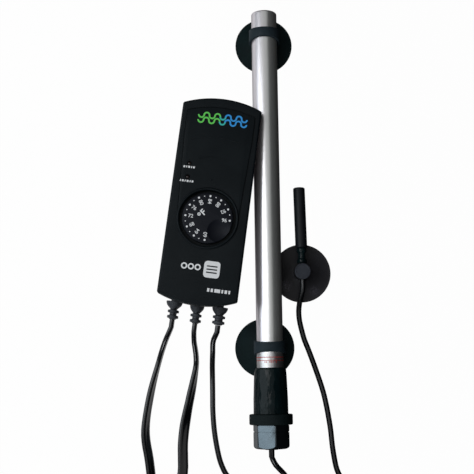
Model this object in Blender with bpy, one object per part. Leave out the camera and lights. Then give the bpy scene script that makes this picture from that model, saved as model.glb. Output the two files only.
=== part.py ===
"""A submersible aquarium heater with its controller box, temperature probe and cords.

Metres, +Z up. The whole set lies on a table at z = 0. The origin is the centre of the
controller's flat back. +Y runs up along the heater tube to its closed end, and +X from the
controller towards the heater and the probe. Each of the three units is modelled in a frame of its
own, whose +Y is the unit's long axis, and an empty leans that frame on the table.
"""

import math

import bmesh
import bpy
from mathutils import Matrix, Vector

# Clearances
GAP = 0.0003                  # between pieces that seat on each other
TURNS_GAP = 0.0005            # between one turn of a coiled cord and the next

# Controller: front cover
BOX_WIDTH = 0.056
BOX_LENGTH = 0.1474           # at the middle, over both curved ends
BOX_END_RADIUS = 0.0716       # plan radius of the curved ends
BOX_CORNER_RADIUS = 0.004
BOX_TURN = math.radians(-7.3)
SKIRT_HEIGHT = 0.0057
SHELL_WALL = 0.0021
FRONT_ROUND = 0.0016
PANEL_RAISE = 0.0007          # the raised panel that runs down into the dial's surround
PANEL_TOP_HALF_WIDTH = 0.0239
PANEL_TOP_MARGIN = 0.0072     # from the panel's top edge to the end of the box
LAMP_RADIUS = 0.0013
LAMP_HOLE_CLEARANCE = 0.0003
LAMP_FROM_BOARD_EDGE = 0.0008
LAMP_Y = (0.0242, 0.0146)

# Controller: dial
DIAL_Y = -0.0128
DIAL_RADIUS = 0.0177
DIAL_THICKNESS = 0.0045
DIAL_EDGE_ROUND = 0.0008
DIAL_SIDE_GAP = 0.0021
WELL_DEPTH = 0.0036           # below the front face
WELL_FLOOR = 0.0016
LIP_WIDTH = 0.0019
LIP_RAISE = 0.0014
DIMPLE_RADIUS = 0.0082        # the finger dimple's outline on the dial's face
DIMPLE_DEPTH = 0.0022
DIMPLE_REACH = 0.0121         # from the dial's axis to the dimple's centre
DIMPLE_ANGLE = math.radians(-42.0)
SHAFT_RADIUS = 0.0020
SHAFT_GRIP = 0.0026           # how far the shaft reaches into the dial

# Controller: rear cover
TUB_SIDE_INSET = 0.0055
TUB_END_INSET = 0.0012
TUB_CORNER_RADIUS = 0.010
TUB_DRAFT = 0.0018
TUB_FLOOR = 0.0020
TUB_EDGE_CHAMFER = 0.0010
FLANGE_THICKNESS = 0.0016
OVER_TUBE_CLEARANCE = 0.00095  # the flange passes above the heater tube

# Controller: cover screws
SCREW_FROM_SIDE = 0.0085
SCREW_FROM_END = 0.0200
SCREW_SHANK_RADIUS = 0.0015
SCREW_HEAD_RADIUS = 0.0028
SCREW_HEAD_HEIGHT = 0.0018
SCREW_HEAD_RECESS = 0.0006
SCREW_TOWER_RADIUS = 0.0040
SCREW_TOWER_HEIGHT = 0.0130
SCREW_LENGTH = 0.0200
SCREW_BOSS_DEPTH = 0.0012     # boss left beyond the end of the screw

# Controller: inside
BOARD_SIDE_CLEARANCE = 0.0008
BOARD_END_CLEARANCE = 0.0025  # from the screw towers
BOARD_THICKNESS = 0.0016
POST_HEIGHT = 0.0080
POST_RADIUS = 0.0025
POST_FROM_BOARD_SIDE = 0.0045
POST_FROM_BOARD_END = 0.0055
POT_RADIUS = 0.0080
POT_HEIGHT = 0.0080
POT_NECK_WALL = 0.0012

# Strain reliefs: length is beyond the housing wall
RELIEF_FROM_SIDE = 0.0063
RELIEF_HEIGHT = 0.0140
RELIEF_LENGTH = 0.0126
RELIEF_NECK = (0.0025, 0.0040)        # half width and half height through the wall
RELIEF_FLANGE = (0.0029, 0.0052)
RELIEF_FLANGE_THICKNESS = 0.0014
RELIEF_GRIP = 0.0110          # from the wall's outside to the inner flange
RELIEF_BASE = 0.0053          # half width of the horn's widest end

# Heater tube
TUBE_DIAMETER = 0.0185
TUBE_WALL = 0.0008
TUBE_END_ROUND = 0.0030
TUBE_TOP_Y = 0.1424
TUBE_END_Y = -0.1384          # the open end, inside the sleeve
HEATER_TURN = math.radians(0.77)
HEATER_CLEARANCE = 0.0009     # from the leaning rear cover's corner to the tube

# Heater: sleeve, collar, nut and seal
SLEEVE_TOP_Y = -0.1153
SLEEVE_WALL = 0.0013
SLEEVE_SWELL = 0.0015         # how much wider it is where it grips the gland
SLEEVE_TAPER = 0.0080
COLLAR_TOP_Y = -0.1469
COLLAR_WIDTH = 0.0073
COLLAR_DIAMETER = 0.0301
NUT_LENGTH = 0.0160
NUT_ACROSS_CORNERS = 0.0270
NUT_TURN = math.radians(19.0)
NUT_END_WALL = 0.0034
NUT_ROUND = 0.0022
SPIGOT_DIAMETER = 0.0180
GLAND_BORE = 0.0080
SEAL_NOSE_DIAMETER = 0.0098
SEAL_THICKNESS = 0.0032

# Heater: inside the tube
CORE_RADIUS = 0.0058
CORE_LENGTH = 0.2250
CORE_DISC = 0.0030
WINDING_THICKNESS = 0.0010
WINDING_MARGIN = 0.0080
CUTOUT_RADIUS = 0.0040
CUTOUT_LENGTH = 0.0140

# Suction cups and their clips
CUP_RADIUS = 0.0210
CUP_RIM = 0.0020              # width of the flat rim that meets the table
CUP_RIM_HEIGHT = 0.0008
CUP_HOLLOW = 0.0021
CUP_HUB_HEIGHT = 0.0043
CUP_HUB_RADIUS = 0.0055
CUP_NECK_RADIUS = 0.0030
CUP_BUTTON_RADIUS = 0.0047
CUP_BUTTON_HEIGHT = 0.0017
CLIP_LIP = 0.0010
CLIP_BAND = 0.0016
CLIP_BAND_WIDTH = 0.0064
CLIP_FOOT_LENGTH = 0.0122
CLIP_FOOT_WIDTH = 0.0150
CLIP_MOUTH_CLEARANCE = 0.0005
UPPER_CLIP_Y = 0.1237
LOWER_CLIP_Y = -0.1010
UPPER_BAND_SHIFT = 0.0020     # the upper clip's band leans towards the closed end
LOWER_CUP_LEAN = -0.0033      # the lower cup's disc sits off its neck

# Probe
PROBE_X = 0.0654
PROBE_Y = -0.0473
PROBE_TURN = math.radians(1.8)
PROBE_DIAMETER = 0.0084
PROBE_TOP_Y = 0.0610
PROBE_LENGTH = 0.0437
PROBE_WALL = 0.0009
BUSHING_END_Y = 0.0061
BUSHING_RIB_RADIUS = 0.0036
BUSHING_NECK_RADIUS = 0.0026
BUSHING_RIB_LENGTH = 0.0030
BUSHING_SPIGOT = 0.0060
BOSS_RADIUS = 0.0057
BOSS_AXIS_RISE = 0.0057       # from the cup's hub to the cord's axis
BOSS_CAP_HEIGHT = 0.0015
BOSS_TOP_RISE = 0.0043        # from the cord's axis to the top of the boss
CAP_PIN_RADIUS = 0.0020
CAP_PIN_LENGTH = 0.0014
THERMISTOR_RADIUS = 0.0030
THERMISTOR_LENGTH = 0.0080

# Cords. The flat cord measures 7.4 by 3.4 mm; a round tube of its cross-section stands for it.
FLAT_CORD_DIAMETER = 0.0054
FLAT_CORD_WIDTH = 0.0074
PROBE_CORD_DIAMETER = 0.0038
PROBE_CORD_CLEARANCE = 0.0004
COIL_CENTRES = {"mains": (0.0087, -0.2562), "heater": (0.0130, -0.2550),
                "probe": (0.1060, -0.2465)}
COIL_RADII = {"mains": 0.0485, "heater": 0.0460, "probe": 0.0285}
COIL_LOOPS = {"mains": 6.0, "heater": 3.5, "probe": 5.5}
COIL_BASE = 0.0014            # from the table to the lowest turn, so that the tie passes under
COIL_LEAD = 0.0080            # straight end of the coiled stretch
LOOP_POINTS = 24
TIE_THICKNESS = 0.0008
TIE_WIDTH = 0.0050
TIE_GAP = 0.0004

# Plug
PLUG_LENGTH = 0.0300
PLUG_WIDTH = 0.0240
PLUG_HEIGHT = 0.0160
BLADE_LENGTH = 0.0165
BLADE_ROOT = 0.0060
BLADE_WIDTH = 0.0063
BLADE_THICKNESS = 0.0015
BLADE_SPACING = 0.0127

# Sizes worked out from the ones above
TUBE_RADIUS = TUBE_DIAMETER / 2
BUTTON_BASE = CUP_HUB_HEIGHT + 2 * GAP + CLIP_LIP
BUTTON_TOP = BUTTON_BASE + CUP_BUTTON_HEIGHT
TUBE_AXIS = BUTTON_TOP + GAP + TUBE_RADIUS
TUB_DEPTH = TUBE_AXIS + TUBE_RADIUS + OVER_TUBE_CLEARANCE
FLANGE_TOP = TUB_DEPTH + FLANGE_THICKNESS
SKIRT_BOTTOM = FLANGE_TOP + GAP
FRONT_FACE = SKIRT_BOTTOM + SKIRT_HEIGHT
WELL_RADIUS = DIAL_RADIUS + DIAL_SIDE_GAP
WELL_BOTTOM = FRONT_FACE - WELL_DEPTH
TUB_HALF_WIDTH = BOX_WIDTH / 2 - TUB_SIDE_INSET
TUB_HALF_LENGTH = BOX_LENGTH / 2 - TUB_END_INSET
BOARD_BOTTOM = TUB_FLOOR + POST_HEIGHT + GAP
BOARD_TOP = BOARD_BOTTOM + BOARD_THICKNESS
SCREW_X = TUB_HALF_WIDTH - SCREW_FROM_SIDE
SCREW_Y = TUB_HALF_LENGTH - SCREW_FROM_END
BOARD_DRAFT = TUB_DRAFT * (1 - BOARD_BOTTOM / TUB_DEPTH)
BOARD_HALF_WIDTH = TUB_HALF_WIDTH - BOARD_DRAFT - SHELL_WALL - BOARD_SIDE_CLEARANCE
BOARD_HALF_LENGTH = SCREW_Y - SCREW_TOWER_RADIUS - BOARD_END_CLEARANCE
POST_X = BOARD_HALF_WIDTH - POST_FROM_BOARD_SIDE
POST_Y = BOARD_HALF_LENGTH - POST_FROM_BOARD_END
LAMP_X = -(BOARD_HALF_WIDTH - LAMP_FROM_BOARD_EDGE)
RELIEF_X = (RELIEF_FROM_SIDE - TUB_HALF_WIDTH, 0.0, TUB_HALF_WIDTH - RELIEF_FROM_SIDE)
NUT_TOP_Y = COLLAR_TOP_Y - COLLAR_WIDTH - GAP
NUT_END_Y = NUT_TOP_Y - NUT_LENGTH
PROBE_AXIS = CUP_HUB_HEIGHT + BOSS_AXIS_RISE
PROBE_END_Y = PROBE_TOP_Y - PROBE_LENGTH

X_AXIS, Y_AXIS, Z_AXIS = Vector((1, 0, 0)), Vector((0, 1, 0)), Vector((0, 0, 1))

FINISHES = {
    "black_plastic": ((0.020, 0.022, 0.026, 1), 0.42, 0.0),
    "rear_plastic": ((0.016, 0.017, 0.020, 1), 0.50, 0.0),
    "dial_plastic": ((0.022, 0.023, 0.026, 1), 0.38, 0.0),
    "black_rubber": ((0.018, 0.022, 0.024, 1), 0.60, 0.0),
    "cord_vinyl": ((0.014, 0.015, 0.017, 1), 0.45, 0.0),
    "shrink_film": ((0.010, 0.014, 0.016, 1), 0.22, 0.0),
    "satin_titanium": ((0.66, 0.64, 0.60, 1), 0.30, 1.0),
    "cap_rubber": ((0.16, 0.17, 0.19, 1), 0.75, 0.0),
    "zinc_steel": ((0.70, 0.70, 0.68, 1), 0.35, 1.0),
    "brass": ((0.78, 0.62, 0.32, 1), 0.30, 1.0),
    "board_green": ((0.04, 0.20, 0.09, 1), 0.50, 0.0),
    "component": ((0.05, 0.05, 0.06, 1), 0.45, 0.0),
    "winding_copper": ((0.62, 0.30, 0.16, 1), 0.35, 1.0),
    "ceramic": ((0.82, 0.79, 0.72, 1), 0.60, 0.0),
    "lamp_lens": ((0.30, 0.03, 0.02, 1), 0.20, 0.0),
    "tie_nylon": ((0.03, 0.03, 0.03, 1), 0.50, 0.0),
}


def clear_scene():
    for old in list(bpy.data.objects):
        bpy.data.objects.remove(old, do_unlink=True)


def finish(name):
    """The named finish as a material, made once."""
    found = bpy.data.materials.get(name)
    if found:
        return found
    colour, roughness, metallic = FINISHES[name]
    material = bpy.data.materials.new(name)
    material.use_nodes = True
    shader = material.node_tree.nodes["Principled BSDF"]
    shader.inputs["Base Color"].default_value = colour
    shader.inputs["Roughness"].default_value = roughness
    shader.inputs["Metallic"].default_value = metallic
    return material


def frame_empty(name, location, turn=0.0):
    empty = bpy.data.objects.new(name, None)
    empty.location = location
    empty.rotation_euler = (0, 0, turn)
    bpy.context.scene.collection.objects.link(empty)
    return empty


# ---------------------------------------------------------------- mesh tools

def circle(centre, radius, count, across=X_AXIS, up=Y_AXIS, radius_up=None):
    """Points round a circle, or an ellipse; a radius of 0 gives one point, a pole."""
    if radius == 0:
        return [Vector(centre)]
    rise = radius if radius_up is None else radius_up
    steps = [2 * math.pi * i / count for i in range(count)]
    return [Vector(centre) + across * radius * math.cos(a) + up * rise * math.sin(a) for a in steps]


def loft(rings, closed=False):
    """A mesh through rings of points; ends are capped unless the last ring joins the first."""
    bm = bmesh.new()
    rows = [[bm.verts.new(point) for point in ring] for ring in rings]
    pairs = list(zip(rows, rows[1:]))
    if closed:
        pairs.append((rows[-1], rows[0]))
    for low, high in pairs:
        bridge(bm, low, high)
    if not closed:
        for row in (rows[0], rows[-1]):
            if len(row) > 2:
                bm.faces.new(row)
    bmesh.ops.recalc_face_normals(bm, faces=bm.faces)
    return bm


def bridge(bm, low, high):
    """Faces between two rings, either of which may be a pole."""
    count = max(len(low), len(high))
    if count == 1:
        return
    for i in range(count):
        j = (i + 1) % count
        corners = [low[i % len(low)], low[j % len(low)], high[j % len(high)], high[i % len(high)]]
        unique = list(dict.fromkeys(corners))
        bm.faces.new(unique)


def turned_up(profile, centre=(0, 0), count=24, closed=False):
    """A turned piece on an upright axis; the profile lists (radius, z)."""
    rings = [circle((centre[0], centre[1], z), radius, count) for radius, z in profile]
    return loft(rings, closed)


def turned_along(profile, height, x=0.0, count=24, closed=False):
    """A turned piece on an axis along Y at a height; the profile lists (radius, y)."""
    rings = [circle((x, y, height), radius, count, X_AXIS, Z_AXIS) for radius, y in profile]
    return loft(rings, closed)


def drum(radius, bottom, top, centre, count=16):
    return turned_up([(radius, bottom), (radius, top)], centre, count)


def block(low, high):
    """A box between two corners."""
    size = Vector(high) - Vector(low)
    middle = (Vector(high) + Vector(low)) / 2
    bm = bmesh.new()
    bmesh.ops.create_cube(bm, size=1.0, matrix=Matrix.Translation(middle) @ Matrix.Diagonal((*size, 1)))
    return bm


def bevelled_block(low, high, width):
    bm = block(low, high)
    bmesh.ops.bevel(bm, geom=list(bm.edges), offset=width, segments=1, affect="EDGES")
    return bm


def rounded_steps(radius, count=3):
    """(inset, rise) pairs along a quarter round, from the side up to the face."""
    steps = [math.pi / 2 * i / count for i in range(count + 1)]
    return [(radius * (1 - math.cos(a)), radius * math.sin(a)) for a in steps]


def make(name, bm, finish_name, parent=None, sharp=35):
    """A named object from a bmesh, shaded smooth with sharp edges past an angle."""
    mesh = bpy.data.meshes.new(name)
    bm.to_mesh(mesh)
    bm.free()
    mesh.shade_smooth()
    mesh.set_sharp_from_angle(angle=math.radians(sharp))
    mesh.materials.append(finish(finish_name))
    piece = bpy.data.objects.new(name, mesh)
    piece.parent = parent
    bpy.context.scene.collection.objects.link(piece)
    return piece


def combine(target, operation, bm):
    """Cut a shape from a piece, or add one to it, with a live Boolean."""
    tool = make(f"{target.name}_shape", bm, "component", target.parent)
    tool.hide_render = True
    tool.display_type = "WIRE"
    modifier = target.modifiers.new(operation.lower(), "BOOLEAN")
    modifier.operation = operation
    modifier.solver = "EXACT"
    modifier.object = tool


# ---------------------------------------------------------------- controller

def plan(half_width, half_length, corner, end_radius, inset=0.0):
    """The box's outline: straight sides, round corners and curved ends, as (x, y) points."""
    end_angle = math.acos((half_width - corner) / (end_radius - corner))
    corner_x = half_width - corner
    corner_y = half_length - end_radius + (end_radius - corner) * math.sin(end_angle)
    points = []
    for i in range(5):
        angle = end_angle * i / 4
        points.append((corner_x + (corner - inset) * math.cos(angle),
                       corner_y + (corner - inset) * math.sin(angle)))
    for i in range(1, 7):
        angle = end_angle + (math.pi / 2 - end_angle) * i / 6
        points.append(((end_radius - inset) * math.cos(angle),
                       half_length - end_radius + (end_radius - inset) * math.sin(angle)))
    left = [(-x, y) for x, y in reversed(points[:-1])]
    top = points + left
    return top + [(-x, -y) for x, y in top]


def box_plan(inset=0.0):
    return plan(BOX_WIDTH / 2, BOX_LENGTH / 2, BOX_CORNER_RADIUS, BOX_END_RADIUS, inset)


def tub_plan(inset=0.0):
    return plan(TUB_HALF_WIDTH, TUB_HALF_LENGTH, TUB_CORNER_RADIUS, BOX_END_RADIUS, inset)


def level(outline, z):
    return [Vector((x, y, z)) for x, y in outline]


def tub_draft(z):
    """How far the drafted rear wall stands in at a height."""
    return TUB_DRAFT * (TUB_DEPTH - z) / TUB_DEPTH


def panel_outline(inset=0.0):
    """The raised panel: a curved top, sides that close in, and a half round about the dial."""
    round_radius = WELL_RADIUS + LIP_WIDTH - 2 * GAP - inset
    top_y = BOX_LENGTH / 2 - PANEL_TOP_MARGIN - inset
    half_top = PANEL_TOP_HALF_WIDTH - inset
    bow = BOX_END_RADIUS - math.sqrt(BOX_END_RADIUS ** 2 - half_top ** 2)
    points = []
    for i in range(9):
        x = half_top - 2 * half_top * i / 8
        drop = BOX_END_RADIUS - math.sqrt(BOX_END_RADIUS ** 2 - x ** 2)
        points.append((x, top_y - drop))
    for i in range(17):
        angle = math.pi + math.pi * i / 16
        points.append((round_radius * math.cos(angle), DIAL_Y + round_radius * math.sin(angle)))
    assert bow < top_y - DIAL_Y
    return points


def arc_ridge(centre_x, peak_y, half_span, radius):
    """A low moulded ridge that follows an arc across the front face."""
    half_width, rise, root = 0.0006, 0.0004, 0.0006
    top = FRONT_FACE + PANEL_RAISE + rise
    rings = []
    for i in range(9):
        share = 2 * i / 8 - 1
        angle = math.asin(half_span / radius) * share
        thickness = half_width * (1.001 - share ** 4)
        inner, outer = radius - thickness, radius + thickness
        base = (centre_x, peak_y - radius)
        ring = []
        for distance, z in ((inner - root / 2, top - rise - root), (inner, top),
                            (outer, top), (outer + root / 2, top - rise - root)):
            ring.append(Vector((base[0] + distance * math.sin(angle),
                                base[1] + distance * math.cos(angle), z)))
        rings.append(ring)
    return loft(rings)


def screw_places():
    return [(x, y) for y in (SCREW_Y, -SCREW_Y) for x in (-SCREW_X, SCREW_X)]


def add_front_cover(parent):
    """The moulded front: a shell with the dial's well, the raised panel, ridges and bosses."""
    ceiling = FRONT_FACE - SHELL_WALL
    rings = [level(box_plan(SHELL_WALL), ceiling), level(box_plan(SHELL_WALL), SKIRT_BOTTOM),
             level(box_plan(), SKIRT_BOTTOM)]
    for inset, rise in rounded_steps(FRONT_ROUND):
        rings.append(level(box_plan(inset), FRONT_FACE - FRONT_ROUND + rise))
    cover = make("front_cover", loft(rings), "black_plastic", parent)

    slope = PANEL_RAISE
    panel = [level(panel_outline(), FRONT_FACE - SHELL_WALL / 2),
             level(panel_outline(), FRONT_FACE + GAP), level(panel_outline(slope), FRONT_FACE + PANEL_RAISE)]
    combine(cover, "UNION", loft(panel))

    outer = WELL_RADIUS + LIP_WIDTH
    crown = FRONT_FACE + LIP_RAISE
    lip_round = LIP_WIDTH / 2
    surround = [(outer, WELL_BOTTOM - WELL_FLOOR)]
    well = [(WELL_RADIUS, WELL_BOTTOM)]
    for i in range(4):
        angle = math.pi * i / 7
        rise = crown - lip_round + lip_round * math.sin(angle)
        surround.append((outer - lip_round + lip_round * math.cos(angle), rise))
        well.append((WELL_RADIUS + lip_round - lip_round * math.cos(angle), rise))
    well.append((WELL_RADIUS + lip_round, crown + LIP_RAISE))
    combine(cover, "UNION", turned_up(surround, (0, DIAL_Y), 36))
    combine(cover, "DIFFERENCE", turned_up(well, (0, DIAL_Y), 36))

    neck_hole = SHAFT_RADIUS + GAP + POT_NECK_WALL + GAP
    combine(cover, "DIFFERENCE", drum(neck_hole, ceiling - WELL_DEPTH, FRONT_FACE, (0, DIAL_Y), 16))
    for y in LAMP_Y:
        hole = LAMP_RADIUS + LAMP_HOLE_CLEARANCE
        combine(cover, "DIFFERENCE", drum(hole, ceiling - 0.001, FRONT_FACE + 0.002, (LAMP_X, y), 12))
    combine(cover, "UNION", arc_ridge(-0.0025, 0.0447, 0.0168, 0.060))
    combine(cover, "UNION", arc_ridge(-0.0017, 0.0303, 0.0096, 0.060))
    boss_bottom = SCREW_TOWER_HEIGHT + GAP
    screw_tip = SCREW_HEAD_RECESS + SCREW_HEAD_HEIGHT + SCREW_LENGTH
    pilot = SCREW_SHANK_RADIUS + GAP
    for place in screw_places():
        boss = [(SCREW_TOWER_RADIUS, ceiling + SHELL_WALL / 2), (SCREW_TOWER_RADIUS, boss_bottom),
                (pilot, boss_bottom), (pilot, screw_tip + SCREW_BOSS_DEPTH)]
        combine(cover, "UNION", turned_up(boss, place, 10))


def add_rear_cover(parent):
    """The rear tub: drafted walls under a flange, board posts, screw towers and cord holes."""
    def wall(z, inset=0.0):
        return level(tub_plan(tub_draft(z) + inset), z)

    rings = [wall(TUB_FLOOR, SHELL_WALL), wall(FLANGE_TOP, SHELL_WALL), level(box_plan(), FLANGE_TOP),
             level(box_plan(), TUB_DEPTH), wall(TUB_DEPTH), wall(TUB_EDGE_CHAMFER),
             wall(0.0, TUB_EDGE_CHAMFER)]
    cover = make("rear_cover", loft(rings), "rear_plastic", parent)
    root = TUB_FLOOR / 2
    for x in (-POST_X, POST_X):
        for y in (-POST_Y, POST_Y):
            combine(cover, "UNION", drum(POST_RADIUS, root, BOARD_BOTTOM - GAP, (x, y), 8))
    seat = SCREW_HEAD_RECESS + SCREW_HEAD_HEIGHT + GAP
    head_hole = SCREW_HEAD_RADIUS + GAP
    shank_hole = SCREW_SHANK_RADIUS + GAP
    for place in screw_places():
        combine(cover, "UNION", drum(SCREW_TOWER_RADIUS, root, SCREW_TOWER_HEIGHT, place, 10))
        hole = [(head_hole, -root), (head_hole, seat), (shank_hole, seat),
                (shank_hole, SCREW_TOWER_HEIGHT + root)]
        combine(cover, "DIFFERENCE", turned_up(hole, place, 12))
    for x in RELIEF_X:
        across, up = (half + GAP for half in RELIEF_NECK)
        places = [(x, relief_seat(x) + reach, RELIEF_HEIGHT) for reach in (-RELIEF_GRIP, RELIEF_GRIP)]
        ends = [circle(place, across, 16, X_AXIS, Z_AXIS, up) for place in places]
        combine(cover, "DIFFERENCE", loft(ends))


def add_cover_screws(parent):
    for number, (x, y) in enumerate(screw_places(), 1):
        head_top = SCREW_HEAD_RECESS + SCREW_HEAD_HEIGHT
        profile = [(SCREW_HEAD_RADIUS * 0.8, SCREW_HEAD_RECESS),
                   (SCREW_HEAD_RADIUS, SCREW_HEAD_RECESS + SCREW_HEAD_HEIGHT / 3),
                   (SCREW_HEAD_RADIUS, head_top), (SCREW_SHANK_RADIUS, head_top),
                   (SCREW_SHANK_RADIUS, head_top + SCREW_LENGTH - SCREW_SHANK_RADIUS),
                   (0, head_top + SCREW_LENGTH)]
        make(f"cover_screw_{number}", turned_up(profile, (x, y), 10), "zinc_steel", parent)


def add_dial(parent):
    """The dial with its finger dimple, and the shaft that it sits on."""
    bottom = WELL_BOTTOM + GAP
    top = bottom + DIAL_THICKNESS
    bore = SHAFT_RADIUS + GAP
    bore_top = bottom + SHAFT_GRIP
    profile = [(bore, bore_top), (bore, bottom), (DIAL_RADIUS, bottom)]
    for inset, rise in rounded_steps(DIAL_EDGE_ROUND, 2):
        profile.append((DIAL_RADIUS - inset, top - DIAL_EDGE_ROUND + rise))
    dial = make("control_dial", turned_up(profile, (0, 0), 36), "dial_plastic", parent)
    sphere = (DIMPLE_RADIUS ** 2 + DIMPLE_DEPTH ** 2) / (2 * DIMPLE_DEPTH)
    bm = bmesh.new()
    place = (DIMPLE_REACH * math.cos(DIMPLE_ANGLE), DIMPLE_REACH * math.sin(DIMPLE_ANGLE),
             top + sphere - DIMPLE_DEPTH)
    bmesh.ops.create_icosphere(bm, subdivisions=4, radius=sphere, matrix=Matrix.Translation(place))
    combine(dial, "DIFFERENCE", bm)
    shaft_bottom = BOARD_TOP + GAP + POT_HEIGHT / 2 + GAP
    make("pot_shaft", drum(SHAFT_RADIUS, shaft_bottom, bore_top - GAP, (0, 0)), "brass", parent)


def add_potentiometer(parent):
    """The pot under the dial; its neck passes up through the floor of the dial's well."""
    bottom = BOARD_TOP + GAP
    shoulder = bottom + POT_HEIGHT
    neck = SHAFT_RADIUS + GAP + POT_NECK_WALL
    bore = SHAFT_RADIUS + GAP
    profile = [(POT_RADIUS, bottom), (POT_RADIUS, shoulder), (neck, shoulder), (neck, WELL_BOTTOM - GAP),
               (bore, WELL_BOTTOM - GAP), (bore, bottom + POT_HEIGHT / 2)]
    make("pot_body", turned_up(profile, (0, DIAL_Y), 16), "zinc_steel", parent)


def add_board(parent):
    """The circuit board and what is soldered to it."""
    side, end = BOARD_HALF_WIDTH, BOARD_HALF_LENGTH
    make("circuit_board", block((-side, -end, BOARD_BOTTOM), (side, end, BOARD_TOP)), "board_green", parent)
    base = BOARD_TOP + GAP
    transformer_y = end - 0.0110
    terminal_y = 0.0055 - end
    fuse_y = terminal_y + 0.0090
    fuse_end = side - 0.0025

    def box_component(name, centre, size, colour, edge=0.0006):
        x, y = centre
        wide, long, high = size
        low = (x - wide / 2, y - long / 2, base)
        make(name, bevelled_block(low, (x + wide / 2, y + long / 2, base + high), edge), colour, parent)

    box_component("transformer", (0.0, transformer_y), (0.0240, 0.0200, 0.0140), "winding_copper")
    box_component("relay", (0.0075, transformer_y - 0.0200), (0.0150, 0.0190, 0.0130), "component")
    box_component("terminal_block", (0.0, terminal_y), (2 * side - 0.0070, 0.0090, 0.0100), "component")
    box_component("triac", (0.0060 - side, fuse_y + 0.0060), (0.0100, 0.0045, 0.0140), "component", 0.0004)
    capacitor = [(0.0048, base), (0.0048, base + 0.0130), (0.0040, base + 0.0138)]
    make("capacitor", turned_up(capacitor, (-0.0080, transformer_y - 0.0170), 20), "component", parent)
    fuse_ends = (fuse_end - 0.0200, fuse_end)
    ends = [circle((x, fuse_y, base + 0.0025), 0.0025, 14, Y_AXIS, Z_AXIS) for x in fuse_ends]
    make("fuse", loft(ends), "ceramic", parent)
    for name, y in zip(("power_lamp", "heater_lamp"), LAMP_Y):
        crown = FRONT_FACE + GAP
        lamp = [(LAMP_RADIUS, base), (LAMP_RADIUS, crown - LAMP_RADIUS / 2), (LAMP_RADIUS * 0.7, crown),
                (0, crown + GAP)]
        make(name, turned_up(lamp, (LAMP_X, y), 12), "lamp_lens", parent)


def relief_seat(x):
    """Where the rear cover's end wall stands furthest out beside a cord hole."""
    reach = max(abs(x) - RELIEF_BASE, 0.0)
    radius = BOX_END_RADIUS - tub_draft(RELIEF_HEIGHT + RELIEF_BASE)
    return -(TUB_HALF_LENGTH - BOX_END_RADIUS + math.sqrt(radius ** 2 - reach ** 2))


def add_strain_relief(name, x, base_half, neck_half, height_half, parent):
    """A moulded cord relief: a flange inside the wall, a hollow-sided horn and two ribs."""
    seat = relief_seat(x) - GAP
    inside = seat + RELIEF_GRIP
    rib, waist = neck_half + 0.0013, neck_half + 0.0002
    sections = [
        (inside + RELIEF_FLANGE_THICKNESS, *RELIEF_FLANGE), (inside, *RELIEF_FLANGE),
        (inside, *RELIEF_NECK), (seat, *RELIEF_NECK),
        (seat, base_half, height_half + 0.0012),
        (seat - 0.10 * RELIEF_LENGTH, 0.86 * base_half + 0.14 * neck_half, height_half + 0.0009),
        (seat - 0.27 * RELIEF_LENGTH, 0.42 * base_half + 0.58 * neck_half, height_half + 0.0004),
        (seat - 0.47 * RELIEF_LENGTH, neck_half, height_half),
        (seat - 0.50 * RELIEF_LENGTH, rib, height_half + 0.0009),
        (seat - 0.62 * RELIEF_LENGTH, rib, height_half + 0.0009),
        (seat - 0.66 * RELIEF_LENGTH, waist, height_half),
        (seat - 0.76 * RELIEF_LENGTH, waist, height_half),
        (seat - 0.80 * RELIEF_LENGTH, rib, height_half + 0.0007),
        (seat - 0.93 * RELIEF_LENGTH, rib, height_half + 0.0007),
        (seat - RELIEF_LENGTH, waist, height_half - 0.0002)]
    rings = [circle((x, y, RELIEF_HEIGHT), across, 12, X_AXIS, Z_AXIS, up) for y, across, up in sections]
    make(name, loft(rings), "black_rubber", parent)


def add_controller():
    box = frame_empty("controller_frame", (0, 0, 0), BOX_TURN)
    dial_axis = frame_empty("dial_axis", (0, DIAL_Y, 0))
    dial_axis.parent = box
    add_front_cover(box)
    add_rear_cover(box)
    add_cover_screws(box)
    add_dial(dial_axis)
    add_potentiometer(box)
    add_board(box)
    add_strain_relief("strain_relief_mains", RELIEF_X[0], RELIEF_BASE, 0.0022, 0.0044, box)
    add_strain_relief("strain_relief_heater", RELIEF_X[1], 0.0046, 0.0022, 0.0044, box)
    add_strain_relief("strain_relief_probe", RELIEF_X[2], 0.0051, 0.0026, 0.0030, box)


# ---------------------------------------------------------------- heater tube

def heater_x():
    """The tube stands just clear of the leaning rear cover's upper corner."""
    corner_x = TUB_HALF_WIDTH - TUB_CORNER_RADIUS
    end_angle = math.acos(corner_x / (BOX_END_RADIUS - TUB_CORNER_RADIUS))
    corner_y = TUB_HALF_LENGTH - BOX_END_RADIUS + (BOX_END_RADIUS - TUB_CORNER_RADIUS) * math.sin(end_angle)
    reach = corner_x * math.cos(BOX_TURN) - corner_y * math.sin(BOX_TURN) + TUB_CORNER_RADIUS
    return reach + TUBE_RADIUS + HEATER_CLEARANCE


def add_sheath(parent):
    """The metal tube: closed and rounded at the top, open at the gland."""
    outer = [(TUBE_RADIUS, TUBE_END_Y)]
    inner = []
    for inset, rise in rounded_steps(TUBE_END_ROUND):
        outer.append((TUBE_RADIUS - inset, TUBE_TOP_Y - TUBE_END_ROUND + rise))
    inner_round = TUBE_END_ROUND - TUBE_WALL
    for inset, rise in reversed(rounded_steps(inner_round)):
        inner.append((TUBE_RADIUS - TUBE_WALL - inset, TUBE_TOP_Y - TUBE_END_ROUND + rise))
    profile = outer + [(0, TUBE_TOP_Y), (0, TUBE_TOP_Y - TUBE_WALL)] + inner
    profile.append((TUBE_RADIUS - TUBE_WALL, TUBE_END_Y))
    make("sheath_tube", turned_along(profile, TUBE_AXIS, 0, 28, True), "satin_titanium", parent)


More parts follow.
